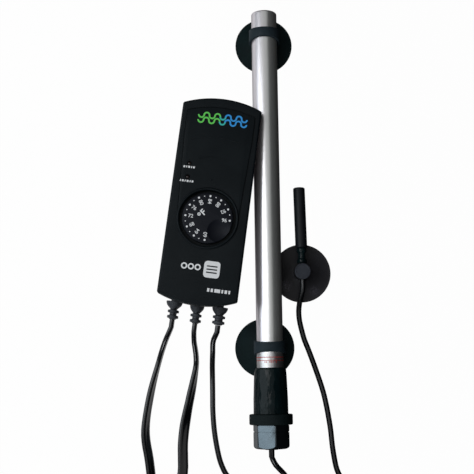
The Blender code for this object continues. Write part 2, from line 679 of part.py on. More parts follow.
def add_element(parent):
    """The ceramic core between its end discs, the wound element on it, and the cut-out below."""
    bore = TUBE_RADIUS - TUBE_WALL - GAP
    top = TUBE_TOP_Y - TUBE_END_ROUND - GAP
    bottom = top - CORE_LENGTH
    core = [(bore, bottom), (bore, bottom + CORE_DISC), (CORE_RADIUS, bottom + CORE_DISC),
            (CORE_RADIUS, top - CORE_DISC), (bore, top - CORE_DISC), (bore, top)]
    make("ceramic_core", turned_along(core, TUBE_AXIS, 0, 24), "ceramic", parent)
    inner = CORE_RADIUS + GAP
    outer = inner + WINDING_THICKNESS
    low, high = bottom + CORE_DISC + WINDING_MARGIN, top - CORE_DISC - WINDING_MARGIN
    make("element_winding", turned_along([(inner, low), (outer, low), (outer, high), (inner, high)],
                                         TUBE_AXIS, 0, 24, True), "winding_copper", parent)
    cutout_top = bottom - GAP
    cutout = [(CUTOUT_RADIUS, cutout_top), (CUTOUT_RADIUS, cutout_top - CUTOUT_LENGTH)]
    make("thermal_cutout", turned_along(cutout, TUBE_AXIS, 0, 20), "ceramic", parent)
    plug_top = cutout_top - CUTOUT_LENGTH - GAP
    plug_end = TUBE_END_Y + GAP + 0.0080
    plug = turned_along([(bore, plug_top), (bore, plug_end)], TUBE_AXIS)
    make("filler_plug", plug, "ceramic", parent)


def add_gland(parent):
    """The gland body, shrunk-on sleeve, rubber collar, seal and hex nut at the lower end."""
    bore = TUBE_RADIUS - TUBE_WALL - GAP
    spigot = SPIGOT_DIAMETER / 2
    body_radius = TUBE_RADIUS + SLEEVE_SWELL - GAP
    shoulder_y = COLLAR_TOP_Y + GAP
    spigot_end = NUT_END_Y + NUT_END_WALL + GAP + SEAL_THICKNESS + GAP
    plug_end = TUBE_END_Y + GAP + 0.0080
    hole = GLAND_BORE / 2
    body = [(hole, spigot_end), (spigot, spigot_end), (spigot, shoulder_y), (body_radius, shoulder_y),
            (body_radius, TUBE_END_Y - GAP), (bore, TUBE_END_Y - GAP), (bore, plug_end - GAP),
            (hole, plug_end - GAP)]
    make("gland_body", turned_along(body, TUBE_AXIS, 0, 20, True), "black_plastic", parent)

    tube_fit = TUBE_RADIUS + GAP
    gland_fit = TUBE_RADIUS + SLEEVE_SWELL
    sleeve = [(tube_fit, SLEEVE_TOP_Y), (tube_fit + SLEEVE_WALL * 0.7, SLEEVE_TOP_Y),
              (tube_fit + SLEEVE_WALL * 1.5, SLEEVE_TOP_Y - SLEEVE_TAPER),
              (gland_fit + SLEEVE_WALL * 0.95, TUBE_END_Y + SLEEVE_TAPER / 2),
              (gland_fit + SLEEVE_WALL, COLLAR_TOP_Y + 2 * GAP),
              (gland_fit, COLLAR_TOP_Y + 2 * GAP), (gland_fit, TUBE_END_Y - GAP),
              (tube_fit, TUBE_END_Y + SLEEVE_TAPER / 2)]
    make("shrink_sleeve", turned_along(sleeve, TUBE_AXIS, 0, 24, True), "shrink_film", parent)

    collar_low = COLLAR_TOP_Y - COLLAR_WIDTH
    edge = 0.0006
    outer = COLLAR_DIAMETER / 2
    collar = [(spigot + GAP, COLLAR_TOP_Y), (outer - edge, COLLAR_TOP_Y), (outer, COLLAR_TOP_Y - edge),
              (outer, collar_low + edge), (outer - edge, collar_low), (spigot + GAP, collar_low)]
    make("collar_ring", turned_along(collar, TUBE_AXIS, 0, 28, True), "black_rubber", parent)

    add_nut(parent, spigot + GAP)
    nose = SEAL_NOSE_DIAMETER / 2
    disc = spigot
    disc_low = NUT_END_Y + NUT_END_WALL + GAP
    seal = [(nose, NUT_END_Y + GAP), (nose, disc_low), (disc, disc_low), (disc, disc_low + SEAL_THICKNESS)]
    make("gland_seal", turned_along(seal, TUBE_AXIS, 0, 24), "black_rubber", parent)


def add_nut(parent, bore):
    """The hex nut: six flats, rounded over into a turned end, bored and with a cord hole."""
    flat = NUT_ACROSS_CORNERS / 2 * math.cos(math.pi / 6)
    sides, per_side = 6, 3
    count = sides * per_side

    def section(y, limit):
        """The hexagon at y, with its corners turned down to a limiting radius."""
        ring = []
        for i in range(count):
            angle = NUT_TURN + 2 * math.pi * i / count
            from_flat = (i % per_side) / per_side * math.pi / 3 - math.pi / 6
            reach = min(flat / math.cos(from_flat), limit)
            ring.append(Vector((reach * math.cos(angle), y, TUBE_AXIS + reach * math.sin(angle))))
        return ring

    corner = NUT_ACROSS_CORNERS / 2
    rings = [section(NUT_TOP_Y, corner - 0.0005), section(NUT_TOP_Y - 0.0005, corner)]
    for inset, rise in rounded_steps(NUT_ROUND):
        limit = (corner if inset == 0 else flat * 1.03) - inset
        rings.append(section(NUT_END_Y + NUT_ROUND - rise, limit))
    nut = make("gland_nut", loft(rings), "black_plastic", parent, 25)
    wall_top = NUT_END_Y + NUT_END_WALL
    cord_hole = SEAL_NOSE_DIAMETER / 2 + GAP
    cut = [(bore, NUT_TOP_Y + NUT_ROUND), (bore, wall_top), (cord_hole, wall_top),
           (cord_hole, NUT_END_Y - NUT_ROUND)]
    combine(nut, "DIFFERENCE", turned_along(cut, TUBE_AXIS, 0, 24))


def cup_profile():
    """Half the cup's section, from the pole under the dome round the rim to the hub's edge."""
    rim_in = CUP_RADIUS - CUP_RIM
    slope = (CUP_HUB_HEIGHT - CUP_RIM_HEIGHT) / (CUP_RADIUS - CUP_HUB_RADIUS)
    outer = []
    for share in (0.05, 0.35, 0.7):
        radius = CUP_RADIUS - share * (CUP_RADIUS - CUP_HUB_RADIUS)
        sag = 0.10 * CUP_HUB_HEIGHT * math.sin(math.pi * share)
        outer.append((radius, CUP_RIM_HEIGHT + slope * (CUP_RADIUS - radius) - sag))
    under = [(rim_in * 0.35, CUP_HOLLOW), (rim_in * 0.75, CUP_HOLLOW * 0.55), (rim_in, 0)]
    return under + [(CUP_RADIUS, 0), (CUP_RADIUS, CUP_RIM_HEIGHT * 0.7)] + outer


def lean_disc(bm, lean):
    """Move the cup's disc sideways under its hub, as the rubber neck lets it."""
    for vertex in bm.verts:
        if vertex.co.z < CUP_HUB_HEIGHT:
            vertex.co.x += lean * (1 - vertex.co.z / CUP_HUB_HEIGHT)
    return bm


def add_cup(name, lean, parent):
    profile = cup_profile() + [
        (CUP_HUB_RADIUS, CUP_HUB_HEIGHT), (CUP_NECK_RADIUS, CUP_HUB_HEIGHT), (CUP_NECK_RADIUS, BUTTON_BASE),
        (CUP_BUTTON_RADIUS, BUTTON_BASE), (CUP_BUTTON_RADIUS, BUTTON_TOP)]
    make(name, lean_disc(turned_up(profile, (0, 0), 28), lean), "black_rubber", parent, 60)


def add_clip(name, band_shift, parent):
    """A clip in the cup's frame: a band round the tube on a foot with the button's socket."""
    inner = TUBE_RADIUS + GAP
    outer = inner + CLIP_BAND
    rings = []
    for i in range(28):
        angle = 2 * math.pi * i / 28
        rise = (1 + math.sin(angle)) / 2
        half = CLIP_BAND_WIDTH / 2 + (CLIP_FOOT_LENGTH - CLIP_BAND_WIDTH) / 2 * (1 - rise) ** 1.5
        centre = band_shift * rise
        out = Vector((math.cos(angle), 0, math.sin(angle)))
        axis = Vector((0, centre, TUBE_AXIS))
        rings.append([axis + out * radius + Y_AXIS * y for radius, y in
                      ((inner, -half), (outer, -half), (outer, half), (inner, half))])
    clip = make(name, loft(rings, True), "black_rubber", parent)

    middle = (inner + outer) / 2
    foot_half = CLIP_FOOT_WIDTH / 2
    lip_bottom = CUP_HUB_HEIGHT + GAP
    start = math.asin(foot_half / middle)
    section = [(-foot_half, lip_bottom), (foot_half, lip_bottom)]
    for i in range(7):
        angle = start - 2 * start * i / 6
        section.append((middle * math.sin(angle), TUBE_AXIS - middle * math.cos(angle)))
    half = CLIP_FOOT_LENGTH / 2 - GAP
    combine(clip, "UNION", loft([[Vector((x, y, z)) for x, z in section] for y in (-half, half)]))
    recess = CUP_BUTTON_RADIUS + CLIP_MOUTH_CLEARANCE
    mouth = CUP_NECK_RADIUS + CLIP_MOUTH_CLEARANCE
    lip_top = lip_bottom + CLIP_LIP
    cut = [(mouth, 0), (mouth, lip_top), (recess, lip_top), (recess, TUBE_AXIS)]
    combine(clip, "DIFFERENCE", turned_up(cut, (0, 0), 20))


def add_heater():
    heater = frame_empty("heater_frame", (heater_x(), 0, 0), HEATER_TURN)
    add_sheath(heater)
    add_element(heater)
    add_gland(heater)
    for side, y, band_shift, lean in (("upper", UPPER_CLIP_Y, UPPER_BAND_SHIFT, 0.0),
                                      ("lower", LOWER_CLIP_Y, 0.0, LOWER_CUP_LEAN)):
        neck = frame_empty(f"{side}_cup_axis", (0, y, 0))
        neck.parent = heater
        add_clip(f"{side}_clip", band_shift, neck)
        add_cup(f"{side}_cup", lean, neck)


# ---------------------------------------------------------------- probe

def add_probe():
    """The sensing capsule on its ribbed bushing, and the cup whose boss holds the cord."""
    probe = frame_empty("probe_frame", (PROBE_X, PROBE_Y, 0), PROBE_TURN)
    radius = PROBE_DIAMETER / 2
    bore = radius - PROBE_WALL
    edge = 0.0006
    capsule = [(radius, PROBE_END_Y), (radius, PROBE_TOP_Y - edge), (radius - edge, PROBE_TOP_Y),
               (0, PROBE_TOP_Y), (0, PROBE_TOP_Y - PROBE_WALL * 2), (bore, PROBE_TOP_Y - PROBE_WALL * 2),
               (bore, PROBE_END_Y)]
    make("probe_capsule", turned_along(capsule, PROBE_AXIS, 0, 24, True), "black_plastic", probe)
    tip = PROBE_TOP_Y - PROBE_WALL * 2 - GAP
    thermistor = [(THERMISTOR_RADIUS, tip - THERMISTOR_LENGTH), (THERMISTOR_RADIUS, tip)]
    make("thermistor", turned_along(thermistor, PROBE_AXIS, 0, 16), "ceramic", probe)

    seat = PROBE_END_Y - GAP
    rib, neck, long = BUSHING_RIB_RADIUS, BUSHING_NECK_RADIUS, BUSHING_RIB_LENGTH
    spigot = bore - GAP
    bushing = [(rib, BUSHING_END_Y), (rib, BUSHING_END_Y + long), (neck, BUSHING_END_Y + long),
               (neck, seat - long), (rib, seat - long), (rib, seat), (spigot, seat),
               (spigot, seat + BUSHING_SPIGOT)]
    make("probe_bushing", turned_along(bushing, PROBE_AXIS, 0, 18), "shrink_film", probe)

    boss_top = PROBE_AXIS + BOSS_TOP_RISE
    profile = cup_profile() + [(BOSS_RADIUS, CUP_HUB_HEIGHT), (BOSS_RADIUS, boss_top)]
    cup = make("probe_cup", turned_up(profile, (0, 0), 28), "black_rubber", probe, 60)
    hole = PROBE_CORD_DIAMETER / 2 + PROBE_CORD_CLEARANCE
    reach = 2 * BOSS_RADIUS
    combine(cup, "DIFFERENCE", turned_along([(hole, -reach), (hole, reach)], PROBE_AXIS, 0, 16))
    pin_hole = CAP_PIN_RADIUS + GAP
    pin_floor = boss_top - CAP_PIN_LENGTH - GAP
    combine(cup, "DIFFERENCE", drum(pin_hole, pin_floor, boss_top + CAP_PIN_LENGTH, (0, 0), 14))
    low = boss_top + GAP
    high = low + BOSS_CAP_HEIGHT
    cap = [(CAP_PIN_RADIUS, boss_top - CAP_PIN_LENGTH), (CAP_PIN_RADIUS, low), (BOSS_RADIUS, low),
           (BOSS_RADIUS, high - edge), (BOSS_RADIUS - edge, high)]
    make("probe_cup_cap", turned_up(cap, (0, 0), 24), "cap_rubber", probe)


# ---------------------------------------------------------------- cords

def smooth_route(points, spacing):
    """Evenly spaced points on a smooth curve through the chosen ones, between two straight ends."""
    chosen = [Vector(p) for p in points]
    fine = []
    for before, start, end, after in zip(chosen, chosen[1:], chosen[2:], chosen[3:]):
        for i in range(24):
            t = i / 24
            fine.append(0.5 * (2 * start + (end - before) * t
                               + (2 * before - 5 * start + 4 * end - after) * t ** 2
                               + (3 * start - before - 3 * end + after) * t ** 3))
    fine.append(chosen[-2])
    lengths = [0.0]
    for a, b in zip(fine, fine[1:]):
        lengths.append(lengths[-1] + (b - a).length)
    steps = max(2, round(lengths[-1] / spacing))
    even = []
    index = 0
    for i in range(steps + 1):
        target = lengths[-1] * i / steps
        while index < len(fine) - 2 and lengths[index + 1] < target:
            index += 1
        share = (target - lengths[index]) / (lengths[index + 1] - lengths[index])
        even.append(fine[index].lerp(fine[index + 1], min(max(share, 0.0), 1.0)))
    route = [chosen[0]] + even + [chosen[-1]]
    return route, sum((b - a).length for a, b in zip(route, route[1:]))


def add_tube(name, points, diameter, resolution):
    """A cord as a curve with a round bevel and filled ends."""
    curve = bpy.data.curves.new(name, "CURVE")
    curve.dimensions = "3D"
    curve.bevel_depth = diameter / 2
    curve.bevel_resolution = resolution
    curve.use_fill_caps = True
    curve.twist_mode = "Z_UP"
    spline = curve.splines.new("POLY")
    spline.points.add(len(points) - 1)
    for place, point in zip(spline.points, points):
        place.co = (*point, 1)
    curve.materials.append(finish("cord_vinyl"))
    cord = bpy.data.objects.new(name, curve)
    bpy.context.scene.collection.objects.link(cord)
    return cord


def coil_heights(name, diameter):
    """Heights of the lower and the upper layer of turns; the mains coil lies on the heater's."""
    layer = (FLAT_CORD_WIDTH if name != "probe" else diameter) + TURNS_GAP
    low = COIL_BASE + diameter / 2
    if name == "mains":
        low += layer + diameter + 2 * (TIE_GAP + TIE_THICKNESS) + GAP
    return low, low + layer


def coil_route(name, diameter):
    """Turns that spiral in on the lower layer, climb half a turn, and spiral out on the upper."""
    centre_x, centre_y = COIL_CENTRES[name]
    outer, loops = COIL_RADII[name], COIL_LOOPS[name]
    pitch = diameter + TURNS_GAP
    low, high = coil_heights(name, diameter)
    points = [Vector(coil_end(name, diameter, False, 0.0))]
    steps = round(loops * LOOP_POINTS)
    for i in range(steps + 1):
        turn = i / LOOP_POINTS
        radius = outer - pitch * min(turn, loops - turn)
        climb = min(max((turn - loops / 2) * 2 + 0.5, 0.0), 1.0)
        climb = climb * climb * (3 - 2 * climb)
        angle = math.pi + 2 * math.pi * turn
        points.append(Vector((centre_x + radius * math.cos(angle), centre_y + radius * math.sin(angle),
                              low + (high - low) * climb)))
    points.append(Vector(coil_end(name, diameter, True, 0.0)))
    return points


def least_gap(points, diameter):
    """The least distance between turns, measured on points at least a third of a loop apart."""
    apart = LOOP_POINTS // 3
    nearest = min((points[i] - points[j]).length
                  for i in range(len(points)) for j in range(i + apart, len(points)))
    return nearest - diameter


def add_coil(name, diameter):
    """The wound stretch of one cord, and the tie that holds it."""
    points = coil_route(name, diameter)
    add_tube(f"{name}_coil", points, diameter, 1)
    length = sum((b - a).length for a, b in zip(points, points[1:]))
    print(f"{name}_coil: length {length:.4f} m, least gap {1000 * least_gap(points, diameter):.2f} mm")
    add_tie(name, diameter)


def add_tie(name, diameter):
    """A band round the bundle of turns, at the side of the coil away from the object."""
    pitch = diameter + TURNS_GAP
    low, high = coil_heights(name, diameter)
    centre_x, centre_y = COIL_CENTRES[name]
    outermost = COIL_RADII[name] + diameter / 2 + TIE_GAP
    innermost = COIL_RADII[name] - pitch * COIL_LOOPS[name] / 2 - diameter / 2 - TIE_GAP
    bottom, top = low - diameter / 2 - TIE_GAP, high + diameter / 2 + TIE_GAP
    rings = []
    for spread, side in ((0, -1), (0, 1), (TIE_THICKNESS, 1), (TIE_THICKNESS, -1)):
        near, far = innermost - spread, outermost + spread
        base, crown = bottom - spread, top + spread
        cut = diameter / 4 + spread
        corners = [(near + cut, base), (far - cut, base), (far, base + cut), (far, crown - cut),
                   (far - cut, crown), (near + cut, crown), (near, crown - cut), (near, base + cut)]
        x = centre_x + side * TIE_WIDTH / 2
        rings.append([Vector((x, centre_y - radius, z)) for radius, z in corners])
    make(f"{name}_tie", loft(rings, True), "tie_nylon")


def local_point(turn, origin, x, y, z):
    """A point of one unit's own frame, in the world."""
    return (origin[0] + x * math.cos(turn) - y * math.sin(turn),
            origin[1] + x * math.sin(turn) + y * math.cos(turn), z)


def relief_exit(number, beyond=GAP, height=RELIEF_HEIGHT):
    x = RELIEF_X[number]
    return local_point(BOX_TURN, (0, 0), x, relief_seat(x) - GAP - RELIEF_LENGTH - beyond, height)


def coil_end(name, diameter, at_end, beyond=GAP):
    """The point just past one of a coil's straight ends; a whole count of loops ends running down."""
    centre_x, centre_y = COIL_CENTRES[name]
    whole = COIL_LOOPS[name] % 1 == 0
    side = 1 if at_end and not whole else -1
    way = -1 if at_end and whole else 1
    height = coil_heights(name, diameter)[1 if at_end else 0]
    return (centre_x + side * COIL_RADII[name], centre_y + way * (COIL_LEAD + beyond), height)


def add_free_cord(name, points, diameter, resolution=2):
    route, length = smooth_route(points, 3 * diameter)
    add_tube(name, route, diameter, resolution)
    print(f"{name}: length {length:.4f} m, {len(route)} points")


def add_mains_cord():
    floor = FLAT_CORD_DIAMETER / 2 + GAP
    add_free_cord("mains_cord", [
        relief_exit(0), relief_exit(0, FLAT_CORD_DIAMETER),
        (-0.0308, -0.0942, 0.0116), (-0.0328, -0.0990, 0.0085),
        (-0.0354, -0.1065, 0.0052), (-0.0386, -0.1180, floor), (-0.0413, -0.1290, floor),
        (-0.0435, -0.1403, floor), (-0.0451, -0.1514, floor), (-0.0456, -0.1600, floor),
        (-0.0448, -0.1680, floor), (-0.0430, -0.1770, floor), (-0.0413, -0.1890, floor),
        (-0.0402, -0.2015, 0.0044), (-0.0397, -0.2135, 0.0085), (-0.0397, -0.2245, 0.0137),
        (-0.0398, -0.2345, 0.0180),
        coil_end("mains", FLAT_CORD_DIAMETER, False, FLAT_CORD_DIAMETER),
        coil_end("mains", FLAT_CORD_DIAMETER, False)], FLAT_CORD_DIAMETER)
    add_coil("mains", FLAT_CORD_DIAMETER)
    x, y, height = coil_end("mains", FLAT_CORD_DIAMETER, True)
    plug_axis = PLUG_HEIGHT / 2 + 0.0010
    add_free_cord("mains_tail", [
        (x, y, height), (x, y - FLAT_CORD_DIAMETER, height), (x, y - 0.0140, height - 0.0022),
        (x, y - 0.0250, height - 0.0082), (x, y - 0.0360, plug_axis + 0.0050),
        (x, y - 0.0460, plug_axis + 0.0010), (x, y - 0.0560 + FLAT_CORD_DIAMETER, plug_axis),
        (x, y - 0.0560, plug_axis)], FLAT_CORD_DIAMETER)
    add_plug(x, y - 0.0560 - GAP, plug_axis)


def add_plug(x, y, z):
    """A moulded two-blade plug that lies flat, its blades away from the cord."""
    half_width, half_height = PLUG_WIDTH / 2, PLUG_HEIGHT / 2
    rings = []
    for share, grow in ((0.0, 0.30), (0.16, 0.42), (0.22, 0.62), (0.45, 0.94), (0.62, 1.0), (0.80, 0.93),
                        (0.86, 1.0), (1.0, 1.0)):
        ring = []
        for point in circle((0, 0, 0), 1.0, 20):
            bulge = (abs(point.x) ** 4 + abs(point.y) ** 4) ** -0.25
            ring.append(Vector((x + point.x * bulge * half_width * grow, y - share * PLUG_LENGTH,
                                z + point.y * bulge * half_height * min(1.0, grow + 0.12))))
        rings.append(ring)
    plug = make("plug_body", loft(rings), "cord_vinyl")
    face = y - PLUG_LENGTH
    for number, side in ((1, -1), (2, 1)):
        centre = x + side * BLADE_SPACING / 2
        slot = BLADE_THICKNESS / 2 + GAP
        combine(plug, "DIFFERENCE", block((centre - slot, face - BLADE_ROOT, z - BLADE_WIDTH / 2 - GAP),
                                          (centre + slot, face + BLADE_ROOT + GAP, z + BLADE_WIDTH / 2 + GAP)))
        half = Vector((BLADE_THICKNESS / 2, 0, BLADE_WIDTH / 2))
        root, tip = Vector((centre, face + BLADE_ROOT, z)), Vector((centre, face - BLADE_LENGTH, z))
        make(f"plug_blade_{number}", bevelled_block(tip - half, root + half, 0.0003), "brass")


def add_heater_cord():
    floor = FLAT_CORD_DIAMETER / 2 + GAP
    add_free_cord("heater_cord", [
        relief_exit(1), relief_exit(1, FLAT_CORD_DIAMETER),
        (-0.0114, -0.0972, 0.0112), (-0.0104, -0.1040, 0.0076),
        (-0.0101, -0.1123, 0.0044), (-0.0118, -0.1235, floor), (-0.0140, -0.1347, floor),
        (-0.0163, -0.1459, floor), (-0.0182, -0.1570, floor), (-0.0192, -0.1680, floor),
        (-0.0191, -0.1770, floor), (-0.0192, -0.1880, floor), (-0.0225, -0.1995, floor),
        (-0.0283, -0.2105, floor), (-0.0325, -0.2215, floor), (-0.0337, -0.2325, 0.0035),
        coil_end("heater", FLAT_CORD_DIAMETER, False, FLAT_CORD_DIAMETER),
        coil_end("heater", FLAT_CORD_DIAMETER, False)], FLAT_CORD_DIAMETER)
    add_coil("heater", FLAT_CORD_DIAMETER)
    x, y, height = coil_end("heater", FLAT_CORD_DIAMETER, True)
    origin = (heater_x(), 0)
    gland = local_point(HEATER_TURN, origin, 0, NUT_END_Y, TUBE_AXIS)
    below = local_point(HEATER_TURN, origin, 0, NUT_END_Y - FLAT_CORD_DIAMETER, TUBE_AXIS)
    add_free_cord("heater_tail", [
        (x, y, height), (x, y + FLAT_CORD_DIAMETER, height), (0.0592, -0.2250, 0.0098),
        (0.0590, -0.2120, 0.0088), (0.0568, -0.1985, 0.0090), (0.0518, -0.1885, 0.0106),
        (0.0460, -0.1822, 0.0140), below, gland], FLAT_CORD_DIAMETER)


def add_probe_cord():
    floor = PROBE_CORD_DIAMETER / 2 + GAP
    add_free_cord("probe_cord", [
        relief_exit(2), relief_exit(2, 0.0050), (0.0020, -0.0965, 0.0110), (0.0016, -0.1040, 0.0070),
        (0.0013, -0.1130, 0.0040), (0.0014, -0.1220, floor), (0.0016, -0.1340, floor),
        (0.0018, -0.1459, floor), (0.0030, -0.1600, floor), (0.0054, -0.1736, floor),
        (0.0080, -0.1825, floor), (0.0124, -0.1903, floor), (0.0210, -0.1960, floor),
        (0.0320, -0.1985, floor), (0.0440, -0.1998, floor), (0.0550, -0.2018, floor),
        (0.0655, -0.2062, floor), (0.0727, -0.2130, floor), (0.0765, -0.2215, floor),
        (0.0775, -0.2300, 0.0028),
        coil_end("probe", PROBE_CORD_DIAMETER, False, 0.0045),
        coil_end("probe", PROBE_CORD_DIAMETER, False)], PROBE_CORD_DIAMETER)
    add_coil("probe", PROBE_CORD_DIAMETER)
    x, y, height = coil_end("probe", PROBE_CORD_DIAMETER, True)
    origin = (PROBE_X, PROBE_Y)
    slide_room = -BOSS_RADIUS - 0.0048
    add_free_cord("probe_tail", [
        (x, y, height), (x, y + 0.0045, height), (0.1338, -0.2250, 0.0046),
        (0.1300, -0.2155, floor), (0.1232, -0.2088, floor), (0.1142, -0.2042, floor),
        (0.1045, -0.2003, floor), (0.0955, -0.1950, floor),
        (0.0893, -0.1870, floor), (0.0862, -0.1722, floor), (0.0843, -0.1549, floor),
        (0.0804, -0.1340, floor), (0.0749, -0.1165, floor), (0.0697, -0.1023, 0.0027),
        (0.0669, -0.0953, 0.0030), (0.0649, -0.0881, 0.0034),
        (0.0635, -0.0820, 0.0040), (0.0629, -0.0765, 0.0049), (0.0631, -0.0712, 0.0062),
        (0.0640, -0.0662, 0.0079), (0.0652, -0.0618, 0.0092),
        local_point(PROBE_TURN, origin, 0, slide_room, PROBE_AXIS),
        local_point(PROBE_TURN, origin, 0, BUSHING_END_Y - GAP, PROBE_AXIS)], PROBE_CORD_DIAMETER)


def main():
    clear_scene()
    add_controller()
    add_heater()
    add_probe()
    add_mains_cord()
    add_heater_cord()
    add_probe_cord()


main()
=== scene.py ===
import math

import bmesh
import bpy
from mathutils import Matrix, Vector


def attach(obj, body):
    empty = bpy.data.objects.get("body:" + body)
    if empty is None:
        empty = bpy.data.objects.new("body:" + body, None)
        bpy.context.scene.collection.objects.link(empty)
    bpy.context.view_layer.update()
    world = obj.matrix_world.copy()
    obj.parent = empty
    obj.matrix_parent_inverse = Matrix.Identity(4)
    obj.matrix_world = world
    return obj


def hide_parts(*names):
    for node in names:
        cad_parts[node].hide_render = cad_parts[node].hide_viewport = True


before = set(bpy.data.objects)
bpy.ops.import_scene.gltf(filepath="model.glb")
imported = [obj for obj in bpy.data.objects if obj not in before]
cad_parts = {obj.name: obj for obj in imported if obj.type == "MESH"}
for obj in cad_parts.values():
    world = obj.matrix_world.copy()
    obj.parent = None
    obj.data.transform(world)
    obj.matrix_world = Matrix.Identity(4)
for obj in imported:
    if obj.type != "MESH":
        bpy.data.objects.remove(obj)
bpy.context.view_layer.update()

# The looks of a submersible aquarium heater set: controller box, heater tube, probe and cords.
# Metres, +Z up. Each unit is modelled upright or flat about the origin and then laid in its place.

UNITS = {
    "controller": ((0.0, 0.0, 0.0), math.radians(-7.3)),
    "heater": ((0.040327, 0.0, 0.0), math.radians(0.77)),
    "probe": ((0.0654, -0.0473, 0.0), math.radians(1.8)),
}
ORIGIN = (0, 0, 0)
HAIR = 1e-5                   # a tolerance for tests on places
INK = 0.00008                 # how thick a printed mark is

# Controller
HALF_WIDTH, HALF_LENGTH, END_RADIUS = 0.0280, 0.0737, 0.0716
TUB_HALF_WIDTH, TUB_HALF_LENGTH, TUB_DEPTH, DRAFT = 0.0225, 0.0725, 0.02735, 0.0018
FLANGE_TOP, SKIRT_BOTTOM, FRONT_FACE = 0.02895, 0.02925, 0.03495
PANEL_TOP = FRONT_FACE + 0.0007
WALL = 0.0021
DIAL_Y, DIAL_RADIUS = -0.0128, 0.0177
DIAL_BOTTOM, DIAL_TOP = 0.03165, 0.03615
WELL_RADIUS, WELL_BOTTOM = 0.0198, 0.03135
LAMPS = ((-0.0177, 0.0242), (-0.0177, 0.0146))
RELIEFS = {"mains": -0.0162, "heater": 0.0, "probe": 0.0162}
RELIEF_HEIGHT, RELIEF_LENGTH = 0.0140, 0.0126

# Heater
TUBE_RADIUS, TUBE_AXIS = 0.00925, 0.01715
ON_TUBE = ("heater", (0, 0, TUBE_AXIS), -1)
TUBE_TOP_Y, TUBE_END_Y = 0.1424, -0.1384
SLEEVE_TOP_Y = -0.1153
COLLAR_TOP_Y, COLLAR_LOW_Y = -0.1469, -0.1542
NUT_END_Y = -0.1705
UPPER_CLIP_Y, LOWER_CLIP_Y = 0.1237, -0.1010
HUB_HEIGHT = 0.0043

# Probe
PROBE_AXIS = 0.0100
BUSHING_END_Y = 0.0061

# Cords
FLAT_WIDTH, FLAT_THICKNESS = 0.0074, 0.0034
FLAT_SOLID = 0.0054           # the round solid that stands for the flat cord
PROBE_CORD = 0.0038
TABLE_GAP, END_GAP = 0.0003, 0.0003
PLUG_AXIS = 0.0090
COILS = {
    "mains": {"centre": (0.0087, -0.2562), "radius": 0.0485, "loops": 6.0, "heights": (0.0201, 0.0280)},
    "heater": {"centre": (0.0130, -0.2550), "radius": 0.0460, "loops": 3.5, "heights": (0.0041, 0.0120)},
    "probe": {"centre": (0.1060, -0.2465), "radius": 0.0285, "loops": 5.5, "heights": (0.0033, 0.0076)},
}
COIL_LEAD, COIL_GAP = 0.0080, 0.0005
ROUTE_SAMPLES = 24            # on each stretch of a route


# ---------------- camera and light

def add_camera():
    bpy.ops.object.camera_add(location=(0.0188, -0.1293, 0.719), rotation=(math.radians(8.6), 0, 0))
    camera = bpy.context.object
    camera.data.lens = 75.949
    camera.data.sensor_width = 36.0
    bpy.context.scene.camera = camera


add_camera()


# ---------------- working by hand

def unpick():
    bpy.ops.object.select_all(action="DESELECT")


def pick(*pieces):
    """Nothing is selected but these, and the first is active."""
    unpick()
    for piece in pieces:
        piece.select_set(True)
    bpy.context.view_layer.objects.active = pieces[0]


def begin_edit(piece, kind="FACE"):
    pick(piece)
    bpy.ops.object.mode_set(mode="EDIT")
    bpy.ops.mesh.select_mode(type=kind)
    bpy.ops.mesh.select_all(action="DESELECT")


def end_edit():
    bpy.ops.object.mode_set(mode="OBJECT")


def mark_all():
    bpy.ops.mesh.select_all(action="SELECT")


def mark_faces(piece, test):
    """In edit mode, selects the faces whose middle and normal pass the test."""
    form = bmesh.from_edit_mesh(piece.data)
    for face in form.faces:
        face.select_set(test(face.calc_center_median(), face.normal))
    bmesh.update_edit_mesh(piece.data)


def mark_edges(piece, test):
    """In edit mode, selects the edges whose middle and direction pass the test."""
    form = bmesh.from_edit_mesh(piece.data)
    for edge in form.edges:
        start, end = (vertex.co for vertex in edge.verts)
        edge.select_set(test((start + end) / 2, (end - start).normalized()))
    bmesh.update_edit_mesh(piece.data)


def bevel_marked(piece, test, offset, segments):
    """In edit mode, rounds the edges that pass the test."""
    mark_edges(piece, test)
    bpy.ops.mesh.bevel(offset=offset, offset_type="OFFSET", segments=segments, profile=0.5, affect="EDGES")


def make_outward(piece):
    begin_edit(piece, "VERT")
    mark_all()
    bpy.ops.mesh.remove_doubles(threshold=1e-6)
    bpy.ops.mesh.normals_make_consistent(inside=False)
    end_edit()


def cut_off(piece, point, normal):
    """Takes away what lies beyond a plane, and closes the cut."""
    begin_edit(piece)
    mark_all()
    bpy.ops.mesh.bisect(plane_co=point, plane_no=normal, use_fill=True, clear_outer=True, threshold=1e-6)
    end_edit()


def apply_modifier(piece, kind, **settings):
    pick(piece)
    modifier = piece.modifiers.new(kind.title(), kind)
    for name, value in settings.items():
        setattr(modifier, name, value)
    bpy.ops.object.modifier_apply(modifier=modifier.name)


def round_edges(piece, width, segments=3, angle=30):
    apply_modifier(piece, "BEVEL", width=width, segments=segments, limit_method="ANGLE",
                   angle_limit=math.radians(angle))


def carve(piece, tool, operation="DIFFERENCE"):
    """A Boolean with a tool piece, which is then thrown away."""
    apply_modifier(piece, "BOOLEAN", object=tool, operation=operation, solver="EXACT")
    bpy.data.objects.remove(tool, do_unlink=True)


def smooth(piece, angle=32):
    pick(piece)
    bpy.ops.object.shade_smooth_by_angle(angle=math.radians(angle))


def bake_place(piece):
    pick(piece)
    bpy.ops.object.transform_apply(location=True, rotation=True, scale=True)


def lay(piece, place, degrees=0, axis="X"):
    """Turns a piece about an axis, moves it to a place and bakes that."""
    piece.matrix_world = Matrix.Translation(place) @ Matrix.Rotation(math.radians(degrees), 4, axis)
    bake_place(piece)


